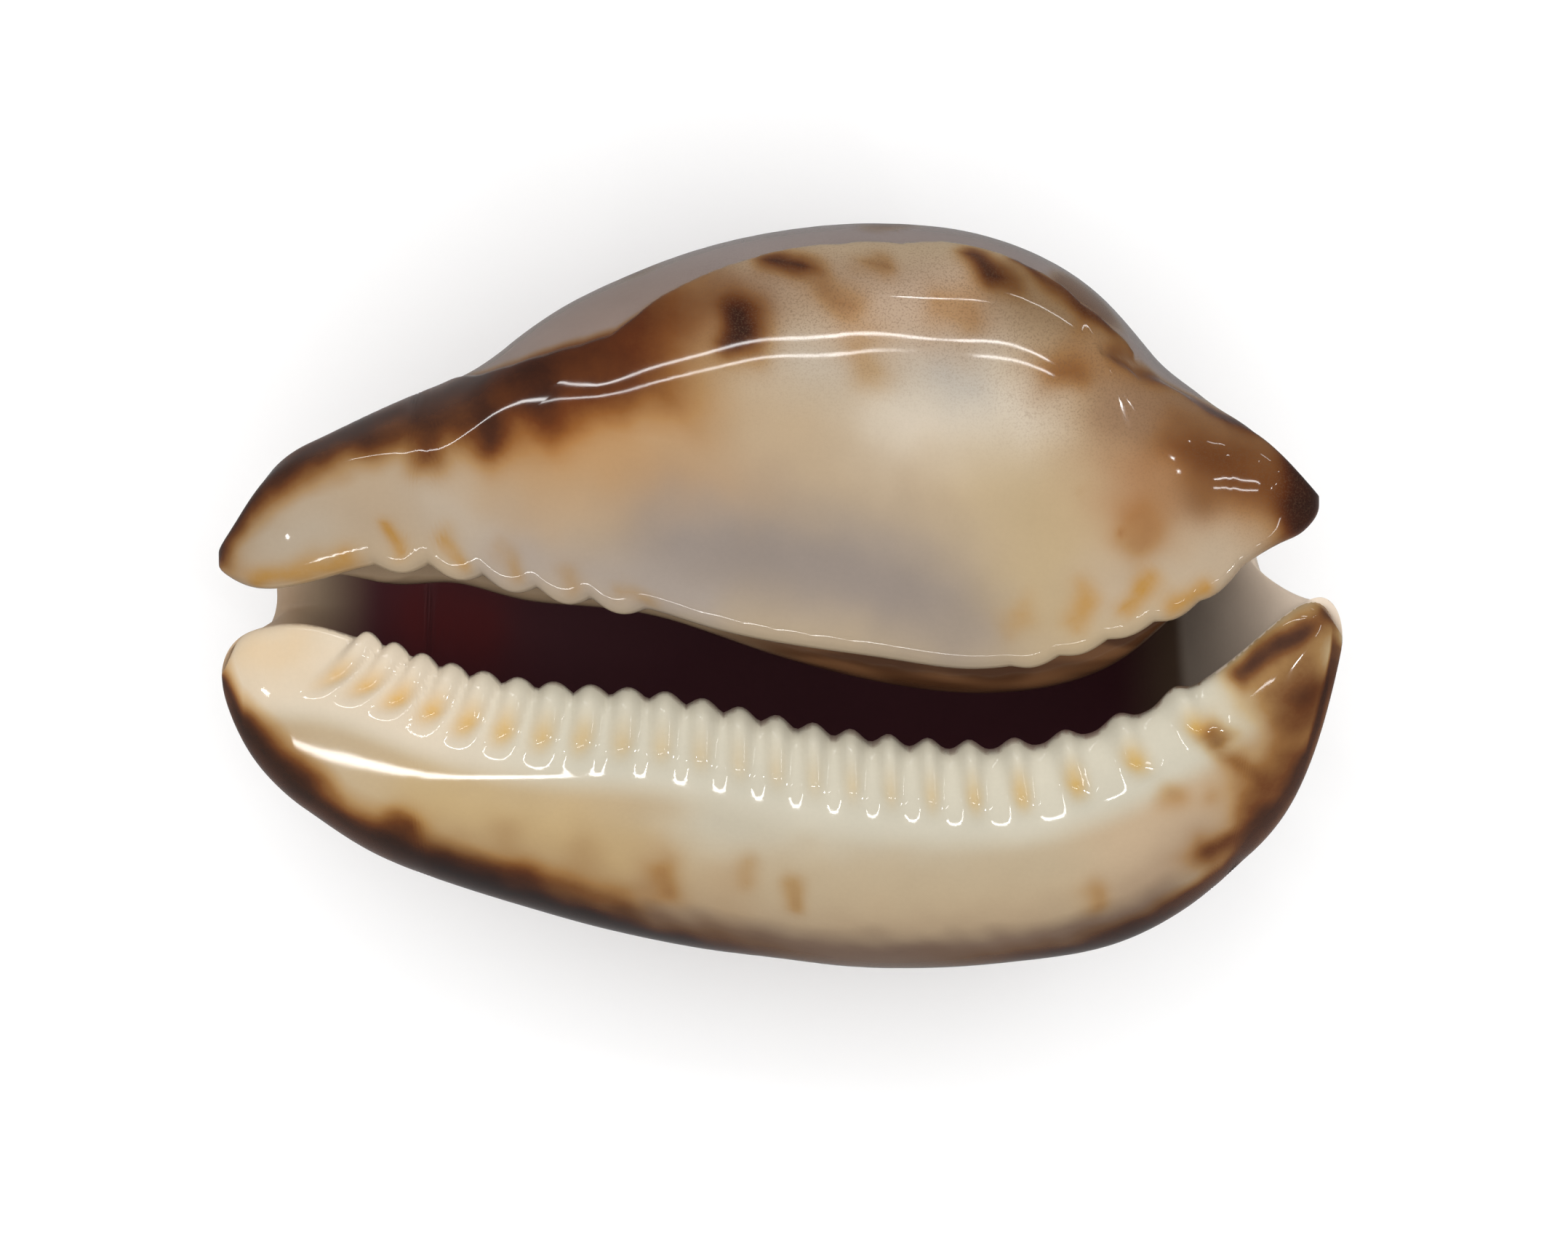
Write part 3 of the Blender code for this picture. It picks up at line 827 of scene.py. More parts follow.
@dataclass
class Markings:
    """Every colour and pigment of the shell."""

    white: Colour = (0.72, 0.665, 0.53)
    cream: Wash = Wash((0.86, 0.73, 0.56), (-12, -24))
    base: Colour = (0.60, 0.46, 0.29)
    dorsum: Colour = (0.36, 0.285, 0.26)
    maroon: Colour = (0.20, 0.065, 0.08)
    lip_span: Span = (6.6, 4.2)
    ground_strokes: tuple[Stroke, ...] = grounds(
        ((0.64, 0.46, 0.23), 3.6, 0.9, (-21.8, -11.1), (-14.5, -13.0), (-9.9, -14.8)),
        ((0.47, 0.30, 0.14), 2.4, 0.75, (-21.8, -13.7), (-14.5, -15.5), (-8.1, -17.1)),
        ((0.45, 0.32, 0.20), 2.0, 0.6, (-8.1, -17.3), (1.0, -18.7), (10.1, -18.9), (16.5, -18.2)),
        ((0.66, 0.60, 0.47), 2.6, 0.85, (-4.5, -11.8), (5.6, -12.5), (15.6, -11.6)),
        ((0.58, 0.46, 0.30), 2.0, 0.6, (1.0, -15.5), (10.1, -15.5), (19.2, -13.9)),
        ((0.66, 0.49, 0.32), 3.4, 0.9, (22.0, -13.4), (25.6, -11.1)),
        ((0.44, 0.27, 0.12), 1.5, 0.6, (-17.0, -13.0), (-16.7, -15.9)),
        ((0.44, 0.27, 0.12), 1.6, 0.6, (-12.7, -13.9), (-12.4, -16.8)),
        ((0.48, 0.31, 0.16), 1.5, 0.55, (-8.1, -14.6), (-7.9, -17.5)),
        ((0.50, 0.34, 0.19), 1.4, 0.5, (-3.6, -15.7), (-3.4, -18.0)),
        ((0.45, 0.31, 0.20), 2.2, 0.7, (22.0, -16.6), (26.5, -13.0)),
        ((0.60, 0.50, 0.38), 2.0, 0.8, (26.5, -3.9), (29.3, -4.3), (30.2, -5.4)),
        ((0.49, 0.37, 0.25), 5.0, 0.95, (-34.1, 5.3), (-28.6, 7.5), (-23.6, 8.0), (-16.3, 6.6)),
        ((0.54, 0.45, 0.35), 1.7, 0.7, (-21.8, 8.0), (-19.5, 6.0)),
        ((0.52, 0.44, 0.34), 2.0, 0.6, (-32.3, 5.7), (-29.5, 6.0)),
        ((0.55, 0.31, 0.13), 4.4, 0.9, (-13.6, 12.1), (-8.1, 11.0), (-3.6, 10.7)),
        ((0.55, 0.41, 0.26), 5.0, 0.9, (0.1, 12.1), (7.8, 10.3)),
        ((0.325, 0.27, 0.235), 4.0, 0.95, (-6.7, 5.0), (-1.3, 4.6), (5.6, 3.4), (11.5, 1.2)),
        ((0.41, 0.35, 0.31), 2.0, 0.7, (-17.2, 4.4), (-10.4, 3.0), (-5.4, 1.6)),
        ((0.56, 0.42, 0.24), 4.4, 0.9, (15.6, 11.2), (17.0, 5.7), (17.0, 3.0)),
        ((0.76, 0.66, 0.53), 3.0, 0.9, (7.4, 13.9), (14.7, 13.9)),
        ((0.60, 0.52, 0.42), 2.2, 0.8, (0.1, 17.0), (6.9, 16.7), (11.5, 17.6)),
        ((0.53, 0.49, 0.43), 1.4, 0.7, (9.9, 16.0), (11.3, 15.1)),
        ((0.44, 0.31, 0.21), 3.2, 0.95, (-5.4, 19.9), (0.1, 21.7), (7.8, 21.7), (11.9, 20.8)),
        ((0.60, 0.44, 0.31), 2.0, 0.9, (4.7, 19.4), (9.7, 20.3), (11.0, 21.3)),
        ((0.27, 0.13, 0.055), 2.2, 0.8, (-17.2, 16.4), (-10.4, 17.8)),
        ((0.42, 0.22, 0.10), 2.0, 0.9, (-8.6, 18.0), (-7.2, 19.4)),
        ((0.26, 0.13, 0.06), 1.8, 0.8, (-6.7, 19.9), (-4.2, 21.2), (-1.7, 20.3)),
        ((0.30, 0.19, 0.10), 2.3, 1.0, (14.7, 21.2), (17.4, 19.4), (20.6, 17.8)),
        ((0.38, 0.20, 0.08), 1.8, 0.8, (17.2, 15.8), (19.7, 16.4), (21.1, 15.3)),
        ((0.45, 0.25, 0.125), 4.6, 1.0, (23.8, 11.2), (28.4, 9.4), (31.1, 7.5)),
        ((0.36, 0.22, 0.12), 2.4, 0.8, (21.1, 13.9), (25.6, 13.0), (31.1, 9.8)),
        ((0.25, 0.125, 0.055), 2.0, 0.8, (27.0, 11.2), (26.3, 8.5)),
        ((0.30, 0.15, 0.06), 2.2, 0.8, (30.2, 10.3), (31.6, 7.5)),
        ((0.46, 0.23, 0.10), 2.2, 0.5, (22.0, 7.5), (22.7, 5.3)),
        ((0.33, 0.20, 0.12), 1.8, 0.7, (22.0, 13.9), (26.5, 13.5), (30.2, 11.2)),
        ((0.45, 0.30, 0.18), 1.5, 0.6, (28.4, 5.0), (30.6, 6.0)),
        ((0.56, 0.44, 0.31), 2.2, 0.9, (20.2, 2.5), (23.8, 3.4), (28.4, 4.6)),
        ((0.34, 0.21, 0.13), 2.8, 0.8, (32.5, -2.9), (33.4, -0.7)),
    )
    pigment_strokes: tuple[Stroke, ...] = strokes(
        Layer.BROWN,
        (1.3, 0.45, (-20.9, -14.3), (-16.3, -15.5), (-10.4, -17.1)),
        (2.6, 0.3, (24.7, 11.6), (28.4, 10.3), (31.1, 8.0)),
        (1.3, 0.9, (32.5, 8.0), (32.7, 9.1)),
        (1.8, 0.5, (32.0, -5.4), (32.7, -2.9)),
        (1.3, 0.7, (-33.6, -6.1), (-30.0, -9.6)),
        (1.1, 0.6, (-26.4, 12.8), (-26.0, 11.6)),
        (1.2, 0.7, (-22.5, 13.9), (-22.3, 10.8)),
        (1.5, 0.8, (-19.3, 15.8), (-18.5, 11.8)),
        (1.5, 0.65, (-15.6, 16.4), (-14.9, 12.8)),
        (1.5, 0.35, (-12.7, 13.9), (-10.9, 14.2)),
        (1.25, 0.95, (-2.8, 20.1), (-2.5, 18.9)),
        (1.5, 0.35, (-2.5, 18.0), (-1.7, 17.6)),
        (1.05, 0.9, (-0.5, 23.0), (1.0, 22.8)),
        (0.8, 0.3, (2.1, 22.5)),
        (1.1, 0.4, (2.8, 21.2), (4.0, 20.1)),
        (0.9, 0.4, (5.3, 23.0), (6.2, 22.7)),
        (1.0, 0.85, (11.9, 23.4), (13.4, 22.1)),
        (0.8, 0.4, (14.5, 21.5)),
        (1.4, 0.25, (5.1, 17.6), (5.3, 16.2)),
        (1.2, 0.3, (10.1, 20.3), (11.5, 19.4)),
        (0.7, 0.75, (14.7, 23.0), (17.0, 21.6), (19.2, 19.8), (21.6, 17.7)),
        (1.2, 0.4, (17.2, 16.4), (18.3, 16.1)),
        (1.0, 0.85, (21.3, 16.7), (25.6, 14.8), (29.7, 12.6), (32.7, 9.8), (33.2, 8.0), (32.2, 6.6)),
        (1.8, 0.3, (25.6, 11.6), (31.1, 8.5)),
        (0.3, 0.6, (21.3, 6.3)),
        (1.4, 0.3, (22.4, 6.9), (22.2, 5.5)),
        (0.25, 0.4, (18.6, 8.7), (18.8, 9.0)),
        (1.3, 0.75, (-24.9, -13.3), (-23.8, -12.6)),
        (1.4, 0.5, (-17.7, -15.5), (-16.3, -15.8)),
        (1.0, 0.3, (-7.6, -15.0), (-7.6, -16.4)),
        (0.7, 0.2, (-2.3, -14.6), (-2.2, -15.9)),
        (0.6, 0.3, (0.5, -15.7), (0.6, -17.4)),
        (0.9, 0.3, (19.4, -16.4), (19.4, -17.1)),
        (0.9, 0.3, (24.3, -10.6)),
        (0.9, 0.2, (27.0, -10.5)),
        (0.9, 0.6, (26.9, -6.5), (27.4, -7.0)),
        (0.9, 0.55, (28.4, -8.2), (29.5, -9.6)),
        (1.2, 0.75, (26.5, -13.9), (28.4, -13.0), (29.7, -11.8)),
        (1.0, 0.9, (28.5, -2.8), (31.1, -0.9), (34.1, 0.8)),
        (1.6, 0.5, (30.6, -4.1), (32.9, -4.3)),
        (1.8, 0.6, (31.6, -8.2), (30.0, -10.9)),
        (2.4, 0.2, (32.9, -0.7), (33.4, -5.2), (31.1, -8.9)),
        (1.3, 0.75, (-35.4, 4.8), (-34.1, 7.3), (-30.9, 10.5), (-26.4, 12.9), (-20.9, 15.1)),
    ) + strokes(
        Layer.YELLOW,
        (0.9, 0.9, (-33.2, 3.1), (-30.5, 3.6), (-27.4, 4.3)),
        (0.5, 0.9, (-24.8, 6.5), (-24.0, 4.8)),
        (0.5, 0.8, (-21.3, 5.8), (-20.2, 4.1)),
        (0.5, 0.6, (-17.7, 5.2), (-16.8, 3.4)),
        (0.6, 0.5, (-13.8, 3.9), (-13.1, 2.4)),
        (0.5, 0.5, (-10.4, 2.3), (-7.9, 1.6)),
        (0.7, 1.0, (21.3, 1.4), (22.7, 2.8)),
        (0.7, 0.9, (24.5, 1.3), (26.3, 2.6)),
        (0.8, 0.7, (18.2, 0.5), (18.9, 2.1)),
        (0.8, 0.5, (14.0, 0.3), (14.9, 1.2)),
        (1.8, 0.3, (-33.2, -1.6), (-30.9, -1.3)),
        (0.8, 0.5, (18.5, 18.9)),
        (1.0, 0.3, (11.9, 21.2)),
    ) + strokes(
        Layer.SPECKLE,
        (5.0, 1.0, (-0.8, 20.8), (10.1, 21.2), (16.5, 18.9)),
        (4.0, 0.8, (19.2, 15.8), (25.6, 12.6), (30.2, 9.8)),
    )
    bands: tuple[Band, ...] = (
        Band(
            Layer.GROUND, Flank.LIP,
            (
                (-20.9, -14.3), (-17.2, -15.9), (-10.4, -17.8), (-4.1, -18.9), (2.2, -19.8), (10.1, -19.8),
                (17.4, -18.9), (22.0, -17.5),
            ),
            ((-2.2, 0.0), (-1.2, 0.45), (-0.2, 0.9), (0.6, 1.0)),
            colour=(0.20, 0.125, 0.085),
            ends=(6.0, 6.0),
        ),
        Band(
            Layer.BROWN, Flank.LIP,
            (
                (-35.2, -2.7), (-33.9, -5.4), (-31.8, -7.6), (-29.5, -9.6), (-27.3, -11.2), (-24.5, -12.8),
                (-21.8, -14.0), (-18.1, -15.5), (-13.6, -17.1), (-8.1, -18.7),
            ),
            (
                (-2.4, 0.0), (-1.1, 0.22), (-0.2, 0.5), (0.7, 0.85), (1.4, 0.97), (4.0, 0.8), (10.0, 0.4),
                (18.0, 0.3),
            ),
            ends=(3.0, 14.0),
        ),
        Band(
            Layer.BROWN, Flank.LIP,
            (
                (18.8, -19.4), (23.8, -17.3), (27.4, -14.8), (30.6, -11.2), (32.7, -7.5), (33.9, -3.4),
                (34.4, -0.7),
            ),
            ((-1.4, 0.0), (-0.5, 0.3), (0.5, 0.8), (2.0, 0.85), (5.0, 0.6), (11.0, 0.35)),
            ends=(12.0, 2.0),
        ),
        Band(
            Layer.BROWN, Flank.COLUMELLA,
            (
                (-35.5, 4.4), (-34.9, 6.0), (-33.4, 7.5), (-30.0, 9.8), (-27.3, 10.9), (-24.5, 11.6),
                (-20.9, 12.3), (-17.2, 13.1), (-13.6, 13.9), (-10.4, 14.5),
            ),
            ((-2.0, 0.0), (-1.0, 0.2), (-0.2, 0.47), (0.8, 0.72), (6.0, 0.76)),
            ends=(2.0, 8.0),
        ),
    )
    inside_strokes: tuple[Stroke, ...] = grounds(
        ((0.33, 0.05, 0.05), 3.0, 0.8, (-22.7, 0.7), (-19.1, 0.3)),
        ((0.28, 0.045, 0.05), 3.0, 0.7, (16.5, -2.9), (18.3, -2.9)),
        inside=True,
    )
    yellow_along: Points = (
        (-34, 0.3), (-25, 0.8), (-18, 0.95), (-11, 0.55), (-6, 0.35), (0, 0.3), (8, 0.35), (13, 0.8),
        (18, 1.0), (25, 1.0), (28, 0.4), (34, 0.0),
    )
    ridge_sharpness: float = 1.5
    ridge_spans: tuple[Span, ...] = ((0.8, 2.6), (5.2, 3.6))
    back_span: Span = (-0.1, 0.5)
    back_clearing: float = 0.9
    back_patches: tuple[Patches, ...] = (
        Patches(Layer.GROUND, Ripple(11, 21), (0.0, 1.2), 0.5, (0.43, 0.35, 0.32)),
        Patches(Layer.BROWN, Ripple(9, 23), (0.5, 1.5), 0.55, squeeze=(1, 1.2, 1.2)),
    )
    flank: Wash = Wash((0.27, 0.18, 0.12), (0, -4))
    flank_steps: tuple[Span, ...] = ((9, 11), (20, 17))
    flank_patches: Patches = Patches(Layer.BROWN, Ripple(5, 27), (0.5, 1.4), 0.7)
    roll_turn: Span = (-8, 3)
    roll_front: Wash = Wash((0.34, 0.24, 0.15), (30.4, 31.6))
    # Behind: first a dim wash that darkens towards the columellar edge, which is painted shade where the lip
    # turns down into the aperture; then the roll's own brown.
    roll_shade_and_brown: tuple[Wash, ...] = (
        Wash((0.22, 0.14, 0.10), (28.4, 31), 0.55),
        Wash((0.20, 0.092, 0.040), (30.4, 31.6)),
    )
    roll_streaks: Patches = Patches(
        Layer.GROUND, Ripple(1.6, 31), (-0.8, 0.7), 0.8, (0.07, 0.026, 0.011), squeeze=(0.25, 1, 1)
    )
    # Painted shade: near black where the roll turns deepest into the aperture.
    roll_depth_shade: Wash = Wash((0.05, 0.022, 0.015), (32.6, 33.6))
    under_lip: Wash = Wash((0.5, 0.42, 0.33), (2.2, 0.2))
    # Pale callus at the canals' ends, fading inwards to the dark inside. The fade paints the shade deeper in
    # the canals, and the rear floor's bright cream, paler than the lip's white, is painted light.
    canal_floor_light_and_shade: tuple[Wash, ...] = (
        Wash((0.66, 0.48, 0.32), (-25.0, -30.5)),
        Wash((0.34, 0.22, 0.14), (21.0, 25.5)),
        Wash((0.98, 0.82, 0.66), (25.3, 26.3)),
    )

    def paint(self, canvas: Canvas) -> None:
        """Lays every colour on the canvas, from the ground up.

        Args:
            canvas: the shell's surface.
        """
        x, from_edge = canvas.along, canvas.known["tooth_distance"]
        canvas.lay(Layer.GROUND, np.ones(len(x)), self.base)
        for stroke in self.ground_strokes:
            canvas.stroke(stroke)
        canvas.band(self.bands[0])
        near_lip = smoothstep(*self.lip_span, from_edge) * canvas.outer
        canvas.lay(Layer.GROUND, near_lip, self.white)
        canvas.wash(self.cream, x, near_lip)
        for band in self.bands[1:]:
            canvas.band(band)
        for stroke in self.pigment_strokes:
            canvas.stroke(stroke)
        self.paint_back(canvas)
        self.paint_roll(canvas)
        self.paint_inside(canvas)
        ridge = canvas.known["tooth"] ** self.ridge_sharpness * between(from_edge, *self.ridge_spans)
        canvas.lay(Layer.YELLOW, ridge * canvas.outer * np.interp(x, *np.array(self.yellow_along).T))

    def paint_back(self, canvas: Canvas) -> None:
        """Lays the mauve back with its blurred brown blotches, beyond the callus's edge."""
        beyond = canvas.known["beyond"]
        over = smoothstep(*self.back_span, beyond) * canvas.outer
        canvas.lay(Layer.GROUND, over, self.dorsum)
        canvas.layers[Layer.BROWN] *= 1 - self.back_clearing * over
        for patches in self.back_patches:
            canvas.scatter(patches, over)
        low = between(canvas.known["step"], *self.flank_steps) * canvas.outer
        canvas.wash(self.flank, beyond, low)
        canvas.scatter(self.flank_patches, low * smoothstep(*self.flank.span, beyond))

    def paint_roll(self, canvas: Canvas) -> None:
        """Lays the colours of the columella's rolled edge: grey-beige in front, streaked brown behind with
        painted shade towards the edge, and painted shade, near black, where it rolls deepest into the
        aperture.
        """
        step = canvas.known["step"]
        behind = smoothstep(*self.roll_turn, canvas.along) * canvas.outer
        canvas.wash(self.roll_front, step, canvas.outer - behind)
        # Painted shade towards the edge behind, then the roll's own brown.
        for wash in self.roll_shade_and_brown:
            canvas.wash(wash, step, behind)
        canvas.scatter(self.roll_streaks, behind * smoothstep(*self.roll_front.span, step))
        # Painted shade, near black, deep in the roll.
        canvas.wash(self.roll_depth_shade, step, canvas.outer)

    def paint_inside(self, canvas: Canvas) -> None:
        """Lays the dark inside, white under the lip's edge and paler towards the two canals, where the fall
        from pale to dark is painted shade and the rear floor's bright cream is painted light.
        """
        within = 1 - canvas.outer
        for layer in (Layer.GROUND, Layer.DULL):
            canvas.lay(layer, within, self.maroon)
        canvas.wash(self.under_lip, canvas.known["step"], within)
        # Painted shade deeper in the canals, and painted light on the rear canal floor.
        for wash in self.canal_floor_light_and_shade:
            canvas.wash(wash, canvas.along, within)
        for stroke in self.inside_strokes:
            canvas.stroke(stroke)


@dataclass
class Sheet:
    """One of the skin's two sheets: its points, laid down, in millimetres, and what is known of each."""

    points: Array
    known: dict[str, Array]


@dataclass
class ShellSkin:
    """The fine skin of the whole shell, as one closed mesh.

    Each row of more_points adds points where the step numbers lie between its smooth steps.
    """

    whorl: Whorl = field(default_factory=Whorl)
    lip_teeth: LipTeeth = field(default_factory=LipTeeth)
    columella_teeth: ColumellaTeeth = field(default_factory=ColumellaTeeth)
    canals: Canals = field(default_factory=Canals)
    ledge: Ledge = field(default_factory=Ledge)
    lie: Lie = field(default_factory=Lie)
    sight: Sight = field(default_factory=Sight)
    markings: Markings = field(default_factory=Markings)
    rings: int = 356
    inner_across: int = 92
    crowding: float = 0.85
    merge: float = 0.004
    undulation: float = 0.018
    undulation_ripple: Ripple = Ripple(7, 5)
    free_steps: tuple[Span, ...] = ((0, 3), (31, 29))
    free_ends: Span = (LENGTH / 2, LENGTH / 2 - 2)
    more_points: tuple[tuple, ...] = (
        (2.2, (10, 8)), (1.2, (21, 24)), (2.5, (30, 31)), (-0.3, (11, 14), (19, 17)),
    )
    ledge_points: float = 4.0
    ledge_reach: float = 0.8
    least_leap: float = 0.02

    def ring_places(self) -> Array:
        """Where the rings are along X, closer at the ends."""
        even = np.linspace(-1, 1, self.rings)
        return LENGTH / 2 * part_way(even, np.sin(even * math.pi / 2), self.crowding)

    def spacing(self, steps: Array, beyond: Array) -> Array:
        """How many points the skin has for each millimetre along a section: more where the detail is fine."""
        more = sum(amount * between(steps, *spans) for amount, *spans in self.more_points)
        return 1 + more + self.ledge_points * np.exp(-((beyond / self.ledge_reach) ** 2))

    def kept_steps(self, leap: Array, steps: Array, beyond: Array) -> Array:
        """The step numbers of the points that the skin keeps on each ring.

        Args:
            leap: the distance between the dense points of each ring.
            steps: their step numbers.
            beyond: their distance beyond the callus's edge.

        Returns:
            An array of (rings, points to keep).
        """
        spacing = self.spacing(steps[None, :], beyond)
        weight = (leap + self.least_leap) * (spacing[:, 1:] + spacing[:, :-1]) / 2
        run = running(weight)
        run /= run[:, -1:]
        wanted = np.linspace(0, 1, 2 * self.inner_across + 1)
        return np.array([np.interp(wanted, ring, steps) for ring in run])

    def sampled(self, dense: Array, steps: Array, keep: Array) -> Array:
        """A dense field of (rings, points, ...) read at the kept step numbers."""
        if dense.ndim == 2:
            return np.array([np.interp(keep[i], steps, dense[i]) for i in range(len(dense))])
        return np.stack([self.sampled(dense[..., k], steps, keep) for k in range(dense.shape[2])], axis=2)

    def outward(self, outer: Array) -> Array:
        """Each outer point's direction away from the shell."""
        normal = np.cross(np.gradient(outer, axis=0), np.gradient(outer, axis=1))
        normal /= np.maximum(np.linalg.norm(normal, axis=2), TINY)[:, :, None]
        away = outer - outer.mean(axis=1, keepdims=True)
        return normal * np.sign((normal * away).sum())

    def beyond_ledge(self, x: Array, girth: Array, seen: Array, steps: Array) -> Array:
        """Each outer point's distance beyond the callus's edge.

        Args:
            x: the rings' places along the shell.
            girth: each point's place round the shell.
            seen: each point in the view from above.
            steps: the chains' step numbers.

        Returns:
            An array of (rings, points).
        """
        along = np.repeat(x, girth.shape[1])
        picked = [located(seen.reshape(-1, 3), place) for place in self.ledge.seen_part]
        edge = [(along[k], girth.ravel()[k]) for k in picked]
        for place, step in self.ledge.hidden_part:
            ring = int(np.argmin(np.abs(x - place)))
            edge.append((place, float(np.interp(step, steps, girth[ring]))))
        return self.ledge.signed(along, girth.ravel(), np.array(edge)).reshape(girth.shape)

    def surface(self) -> tuple[Sheet, Sheet]:
        """The outer and the inner sheet of the skin."""
        x = self.ring_places()
        outer, inner = self.whorl.chains(x)
        steps = np.linspace(0, self.whorl.steps, outer.shape[1])
        leap = np.linalg.norm(np.diff(outer, axis=1), axis=2)
        girth = running(leap)
        known = self.lip_teeth.carve(x, outer, inner, steps)
        self.columella_teeth.carve(x, outer, steps)
        x_grid = self.canals.close(x, outer, inner, steps / self.whorl.steps)
        outer, inner = (np.concatenate([x_grid[:, :, None], chain], axis=2) for chain in (outer, inner))
        laid = self.lie.lay(np.concatenate([outer, inner], axis=1)) / MM
        beyond = self.beyond_ledge(x, girth, self.sight.seen(laid[:, : outer.shape[1]]), steps)
        free = between(steps, *self.free_steps) * smoothstep(*self.free_ends, np.abs(x))[:, None]
        relief = self.ledge.relief(beyond) * between(x, *self.ledge.reach)[:, None]
        relief += self.undulation * self.undulation_ripple.at(outer)
        outer = outer + self.outward(outer) * (relief * free)[:, :, None]
        edge = self.columella_teeth.edge(steps)
        known |= {"from_lip": girth, "from_columella": girth[:, edge : edge + 1] - girth, "beyond": beyond}
        known["along"], known["step"] = np.meshgrid(x, steps, indexing="ij")
        keep = self.kept_steps(leap, steps, beyond)
        sheets = (self.sampled(outer, steps, keep), self.sampled(inner, steps, keep[:, ::2]))
        laid = self.lie.lay(np.concatenate(sheets, axis=1)) / MM
        split = sheets[0].shape[1]
        known = {name: self.sampled(value, steps, keep) for name, value in known.items()}
        inner_known = {name: value[:, ::2] for name, value in known.items()}
        return Sheet(laid[:, :split], known), Sheet(laid[:, split:], inner_known)

    def painted(self, sheets: tuple[Sheet, Sheet]) -> list[dict[str, Array]]:
        """The colours and pigments of both sheets.

        Args:
            sheets: the outer and the inner sheet.

        Returns:
            For each sheet, its layers by name.
        """
        points = np.concatenate([sheet.points.reshape(-1, 3) for sheet in sheets])
        names = sheets[0].known
        known = {name: np.concatenate([sheet.known[name].ravel() for sheet in sheets]) for name in names}
        count = sheets[0].points.size // 3
        is_outer = (np.arange(len(points)) < count).astype(float)
        canvas = Canvas(points, self.sight.seen(points), known["along"], known, is_outer)
        self.markings.paint(canvas)
        return [
            {
                layer.value: values[part].reshape(sheet.points.shape[:2] + values.shape[1:])
                for layer, values in canvas.layers.items()
            }
            for sheet, part in zip(sheets, (slice(count), slice(count, None)))
        ]

    def doubled(self, inner: Array, outer: Array) -> Array:
        """The inner sheet's values with every column twice, and the outer's own on the two end rings."""
        full = np.repeat(inner, 2, axis=1)[:, :-1]
        full[[0, -1]] = outer[[0, -1]]
        return full

    def sheet(self, mesh: bmesh.types.BMesh, points: Array, layers: dict[str, Array], thin: bool) -> None:
        """Adds one sheet of the skin to a mesh.

        Args:
            mesh: the mesh to add to.
            points: the sheet's points, as (rings, points, 3), in millimetres.
            layers: its colours and pigments, by name.
            thin: whether only every second point is used, except on the two end rings.
        """
        skip = 2 if thin else 1
        rows, columns = points.shape[0], (points.shape[1] - 1) // skip + 1
        cells = {"x_segments": columns - 1, "y_segments": rows - 1}
        made = bmesh.ops.create_grid(mesh, **cells, size=1.0, calc_uvs=True)
        place = {
            vert: ((vert.co.y + 1) / 2 * (rows - 1), (vert.co.x + 1) / 2 * (columns - 1))
            for vert in made["verts"]
        }
        if thin:
            ends = [
                edge for edge in mesh.edges
                if edge.verts[0] in place and edge.verts[1] in place
                and round(place[edge.verts[0]][0]) == round(place[edge.verts[1]][0]) in (0, rows - 1)
            ]
            for edge in ends:
                middle = [(a + b) / 2 for a, b in zip(place[edge.verts[0]], place[edge.verts[1]])]
                place[bmesh.utils.edge_split(edge, edge.verts[0], 0.5)[1]] = tuple(middle)
        for vert, (row, column) in place.items():
            row, column = round(row), round(column * skip)
            for name, values in layers.items():
                if values.ndim == 3:
                    vert[mesh.verts.layers.float_color[name]] = (*values[row, column], 1.0)
                else:
                    vert[mesh.verts.layers.float[name]] = values[row, column]
            vert.co = Vector(points[row, column]) * MM

    def build(self, material: bpy.types.Material) -> bpy.types.Object:
        """The skin as a piece that stands for the solid.

        Args:
            material: what it is made of.

        Returns:
            The piece.
        """
        outer, inner = self.surface()
        layers, inner_layers = self.painted((outer, inner))
        mesh = bmesh.new()
        mesh.loops.layers.uv.new("UVMap")
        for name, values in layers.items():
            kind = mesh.verts.layers.float_color if values.ndim == 3 else mesh.verts.layers.float
            kind.new(name)
        self.sheet(mesh, outer.points, layers, thin=False)
        full_layers = {name: self.doubled(values, layers[name]) for name, values in inner_layers.items()}
        self.sheet(mesh, self.doubled(inner.points, outer.points), full_layers, thin=True)
        bmesh.ops.triangulate(mesh, faces=[face for face in mesh.faces if len(face.verts) > 4])
        bmesh.ops.remove_doubles(mesh, verts=mesh.verts, dist=self.merge * MM)
        bmesh.ops.recalc_face_normals(mesh, faces=mesh.faces)
        piece = solidified("cowry_shell", mesh, material)
        piece.data.shade_smooth()
        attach(piece, "root")
        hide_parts("shell")
        return piece


@dataclass(frozen=True)
class Grain:
    """A procedural noise: its features' size in millimetres, its detail and its roughness."""

    size: float
    detail: float = 2.0
    roughness: float = 0.5


